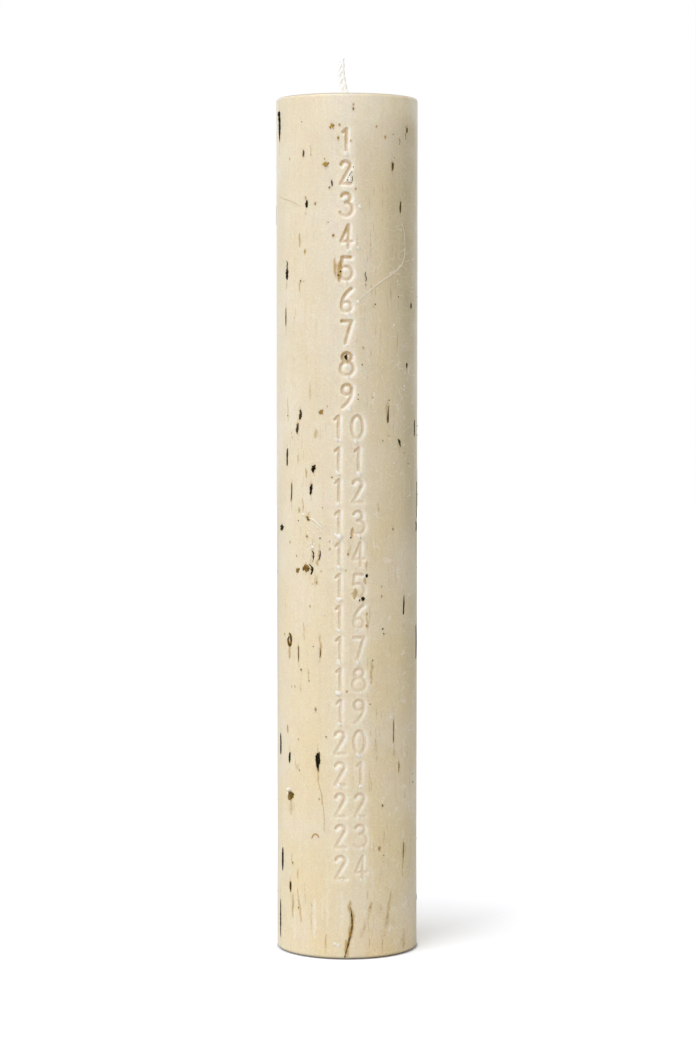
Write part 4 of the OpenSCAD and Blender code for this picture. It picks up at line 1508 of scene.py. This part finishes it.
# %% The tree that winds yarns
def yarn_tree():
    sizes = {name: "Float" for name in ("Lay", "Yarn_radius", "Strand_radius", "Lint")}
    shop = Shop("wind_yarns", Yarns="Int", **sizes, Seed="Int", Material="Material")
    given = shop.given
    path = shop.node("GeometryNodeMeshToCurve", {0: given["Geometry"]})
    sockets = {"Geometry": path, "Amount": given["Yarns"]}
    names = ("Geometry", "Duplicate Index")
    copies, each = shop.outputs_of("GeometryNodeDuplicateElements", sockets, *names, domain="SPLINE")
    length = shop.node("GeometryNodeSplineParameter", out="Length")
    tangent = shop.node("GeometryNodeInputTangent")
    beside = shop.vector("CROSS_PRODUCT", tangent, (0, 1, 0))
    deep = shop.vector("CROSS_PRODUCT", tangent, beside)
    angle = (each / given["Yarns"] + length / given["Lay"]) * (2 * math.pi)
    reach = given["Strand radius"] - given["Yarn radius"]
    across = shop.scaled(beside, shop.math("COSINE", angle) * reach)
    inward = shop.scaled(deep, shop.math("SINE", angle) * reach)
    sockets = {"Geometry": copies, "Offset": shop.vector("ADD", across, inward)}
    wound = shop.node("GeometryNodeSetPosition", sockets)
    sockets = {"Resolution": 7, "Radius": given["Yarn radius"]}
    profile = shop.node("GeometryNodeCurvePrimitiveCircle", sockets)
    sockets = {"Curve": wound, "Profile Curve": profile, "Fill Caps": True}
    yarns = shop.node("GeometryNodeCurveToMesh", sockets)

    sockets = {"Mesh": yarns, "Density": given["Lint"], "Seed": given["Seed"]}
    names = ("Points", "Rotation")
    roots, upright = shop.outputs_of("GeometryNodeDistributePointsOnFaces", sockets, *names)
    sockets = {"Vertices": 3, "Radius Top": 0.004 * MM, "Radius Bottom": 0.014 * MM, "Depth": 0.45 * MM}
    hair = shop.node("GeometryNodeMeshCone", sockets)
    sockets = {0: (-0.9, -0.9, -3), 1: (0.9, 0.9, 3), "Seed": given["Seed"]}
    swing = shop.node("FunctionNodeRandomValue", sockets, data_type="FLOAT_VECTOR")
    leaning = shop.node("FunctionNodeEulerToRotation", {0: swing})
    turn = shop.node("FunctionNodeRotateRotation", {0: upright, 1: leaning}, rotation_space="LOCAL")
    lint = shop.node("GeometryNodeInstanceOnPoints", {"Points": roots, "Instance": hair, "Rotation": turn})
    return shop.close(shop.together(yarns, lint))


# %% [markdown]
# Deep in the wax, where nobody looks, a plain strand goes on down to the clip. Each strand's yarns and
# its plain stretch are put into one mesh, because they replace one solid.

# %% Wind the yarns and add the buried stretch
STRAND_R = 0.34 * MM
CLIP_LIFT = 0.2 * MM
PLAIN_TOP = WAX_TOP - 3.5 * MM
RING_STEP = 0.5 * MM


def buried_strand(k, sides=8):
    """Points and faces of the plain strand from the clip up to where the yarns begin."""
    heights = [CLIP_LIFT, PLAIT_FOOT, *np.arange(PLAIT_FOOT, PLAIN_TOP, RING_STEP)[1:]]
    turns = np.linspace(0, 2 * math.pi, sides, endpoint=False)
    points = [strand_at(k, heights[0])]
    for z in heights:
        points += [strand_at(k, z) + Vector((math.cos(a), -math.sin(a), 0)) * STRAND_R for a in turns]
    points.append(strand_at(k, heights[-1]))
    return points, [face[::-1] for face in swept(len(heights), sides)]


winding = yarn_tree()
for k, letter in enumerate("abc"):
    free_end = grown("free_end", strand_mesh(k), winding, Yarns=4, Lay=12 * MM, Yarn_radius=0.42 * MM,
                     Strand_radius=0.52 * MM, Lint=8e3, Seed=k, Material=cotton)
    points, faces = buried_strand(k)
    below = plain_object("below", points, faces, cotton)
    whole = bmesh.new()
    whole.from_mesh(free_end.data)
    whole.from_mesh(below.data)
    yarns = plain_object(f"twisted_yarns_{letter}", [], [], cotton)
    whole.to_mesh(yarns.data)
    whole.free()
    yarns.data.shade_smooth()
    for spare in (free_end, below):
        bpy.data.objects.remove(spare)
    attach(yarns, "root")
    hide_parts(f"wick_strand_{letter}")
    print("strand", letter, len(yarns.data.polygons), "faces")

# %% [markdown]
# ## The studio
#
# The photograph was taken on white, and white walls fill the shadows and show as a pale line along both
# edges of the wax. Brighter lamps would bleach the wax. So the floor is lifted to white for the camera
# alone, by a glow that only camera rays see, and still takes the candle's soft shadow, which falls to the
# right and back. At the candle's foot the glow stops, and leaves the dark line where it stands. The world
# does the same: it is white to the camera and to what mirrors it, and fainter and warmer as light.

# %% Floor and surroundings
FLOOR_SIZE = 6.0
FLOOR_WHITE = (0.90, 0.925, 0.975)
NEAR_LIFT = 0.32
FAR_LIFT = 0.8
FRONT_LIFT = 0.1
AMBIENT = 0.37
FILL_COLOUR = (1.0, 0.955, 0.88)
WHITE = (1, 1, 1)


def floor_material():
    material = bpy.data.materials.new("studio_floor")
    material.use_nodes = True
    material.node_tree.nodes.clear()
    board = Board(material.node_tree)
    place = board.node("ShaderNodeTexCoord", out="Object")
    away = board.vector("LENGTH", place, out="Value")
    before = board.vector("DOT_PRODUCT", place, (1, -0.6, 0), out="Value")
    lift = board.step(away, 25.0 * MM, 25.9 * MM) * NEAR_LIFT
    # painted light: the glow grows away from the foot and towards the front right, which shortens the
    # shadow
    lift = lift + board.step(away, 0.05, 0.25) * (FAR_LIFT - NEAR_LIFT)
    lift = lift + board.step(before, 15 * MM, 45 * MM) * FRONT_LIFT
    seen = board.node("ShaderNodeLightPath", out="Is Camera Ray")
    glow = board.node("ShaderNodeEmission", {"Color": WHITE, "Strength": seen * lift})
    matt = board.node("ShaderNodeBsdfDiffuse", {"Color": FLOOR_WHITE})
    end = material.node_tree.nodes.new("ShaderNodeOutputMaterial")
    board.put(end.inputs["Surface"], board.node("ShaderNodeAddShader", {0: matt, 1: glow}))
    return material


def make_world():
    world = bpy.data.worlds.new("white_studio")
    world.use_nodes = True
    board = Board(world.node_tree)
    seen = board.node("ShaderNodeLightPath", out="Is Camera Ray")
    for name in ("Is Glossy Ray", "Is Transmission Ray"):
        seen = board.math("MAXIMUM", seen, board.node("ShaderNodeLightPath", out=name))
    background = next(n for n in world.node_tree.nodes if n.type == "BACKGROUND")
    board.put(background.inputs["Color"], board.mix(seen, FILL_COLOUR, WHITE))
    board.put(background.inputs["Strength"], AMBIENT + seen * (1 - AMBIENT))
    bpy.context.scene.world = world


half = FLOOR_SIZE / 2
floor = plain_object("floor", [(-half, -half, 0), (half, -half, 0), (half, half, 0), (-half, half, 0)],
                     [(0, 1, 2, 3)], floor_material())
make_world()
print("floor:", FLOOR_SIZE, "m square")

# %% [markdown]
# Two soft lamps light the candle: a large key lamp high on the left, which models the round of the pillar
# and the grooves, and a small weak one lower at the left side, which brightens that edge. One lamp alone
# would leave that edge as dark as the right one.

# %% Lamps
LAMP_COLOUR = (0.94, 0.96, 1.0)
KEY = {"aim": 0.15, "azimuth": -36, "elevation": 53, "distance": 2.6, "size": 2.5, "watts": 50}
SIDE = {"aim": 0.10, "azimuth": -75, "elevation": 42, "distance": 1.6, "size": 0.9, "watts": 2.5}


def soft_lamp(name, aim, azimuth, elevation, distance, size, watts):
    """A square soft lamp that looks at the candle from an azimuth, 0 being the camera's side."""
    lamp = bpy.data.lights.new(name, "AREA")
    lamp.size = size
    lamp.energy = watts
    lamp.color = LAMP_COLOUR
    a, e = math.radians(azimuth), math.radians(elevation)
    back = Vector((math.sin(a) * math.cos(e), -math.cos(a) * math.cos(e), math.sin(e)))
    made = placed(name, lamp)
    made.location = Vector((0, 0, aim)) + back * distance
    made.rotation_euler = (-back).to_track_quat("-Z", "Y").to_euler()


soft_lamp("key_lamp", **KEY)
soft_lamp("side_lamp", **SIDE)
bpy.context.scene.view_settings.view_transform = "Standard"
print("lamps: a large key and a smaller one from the side")
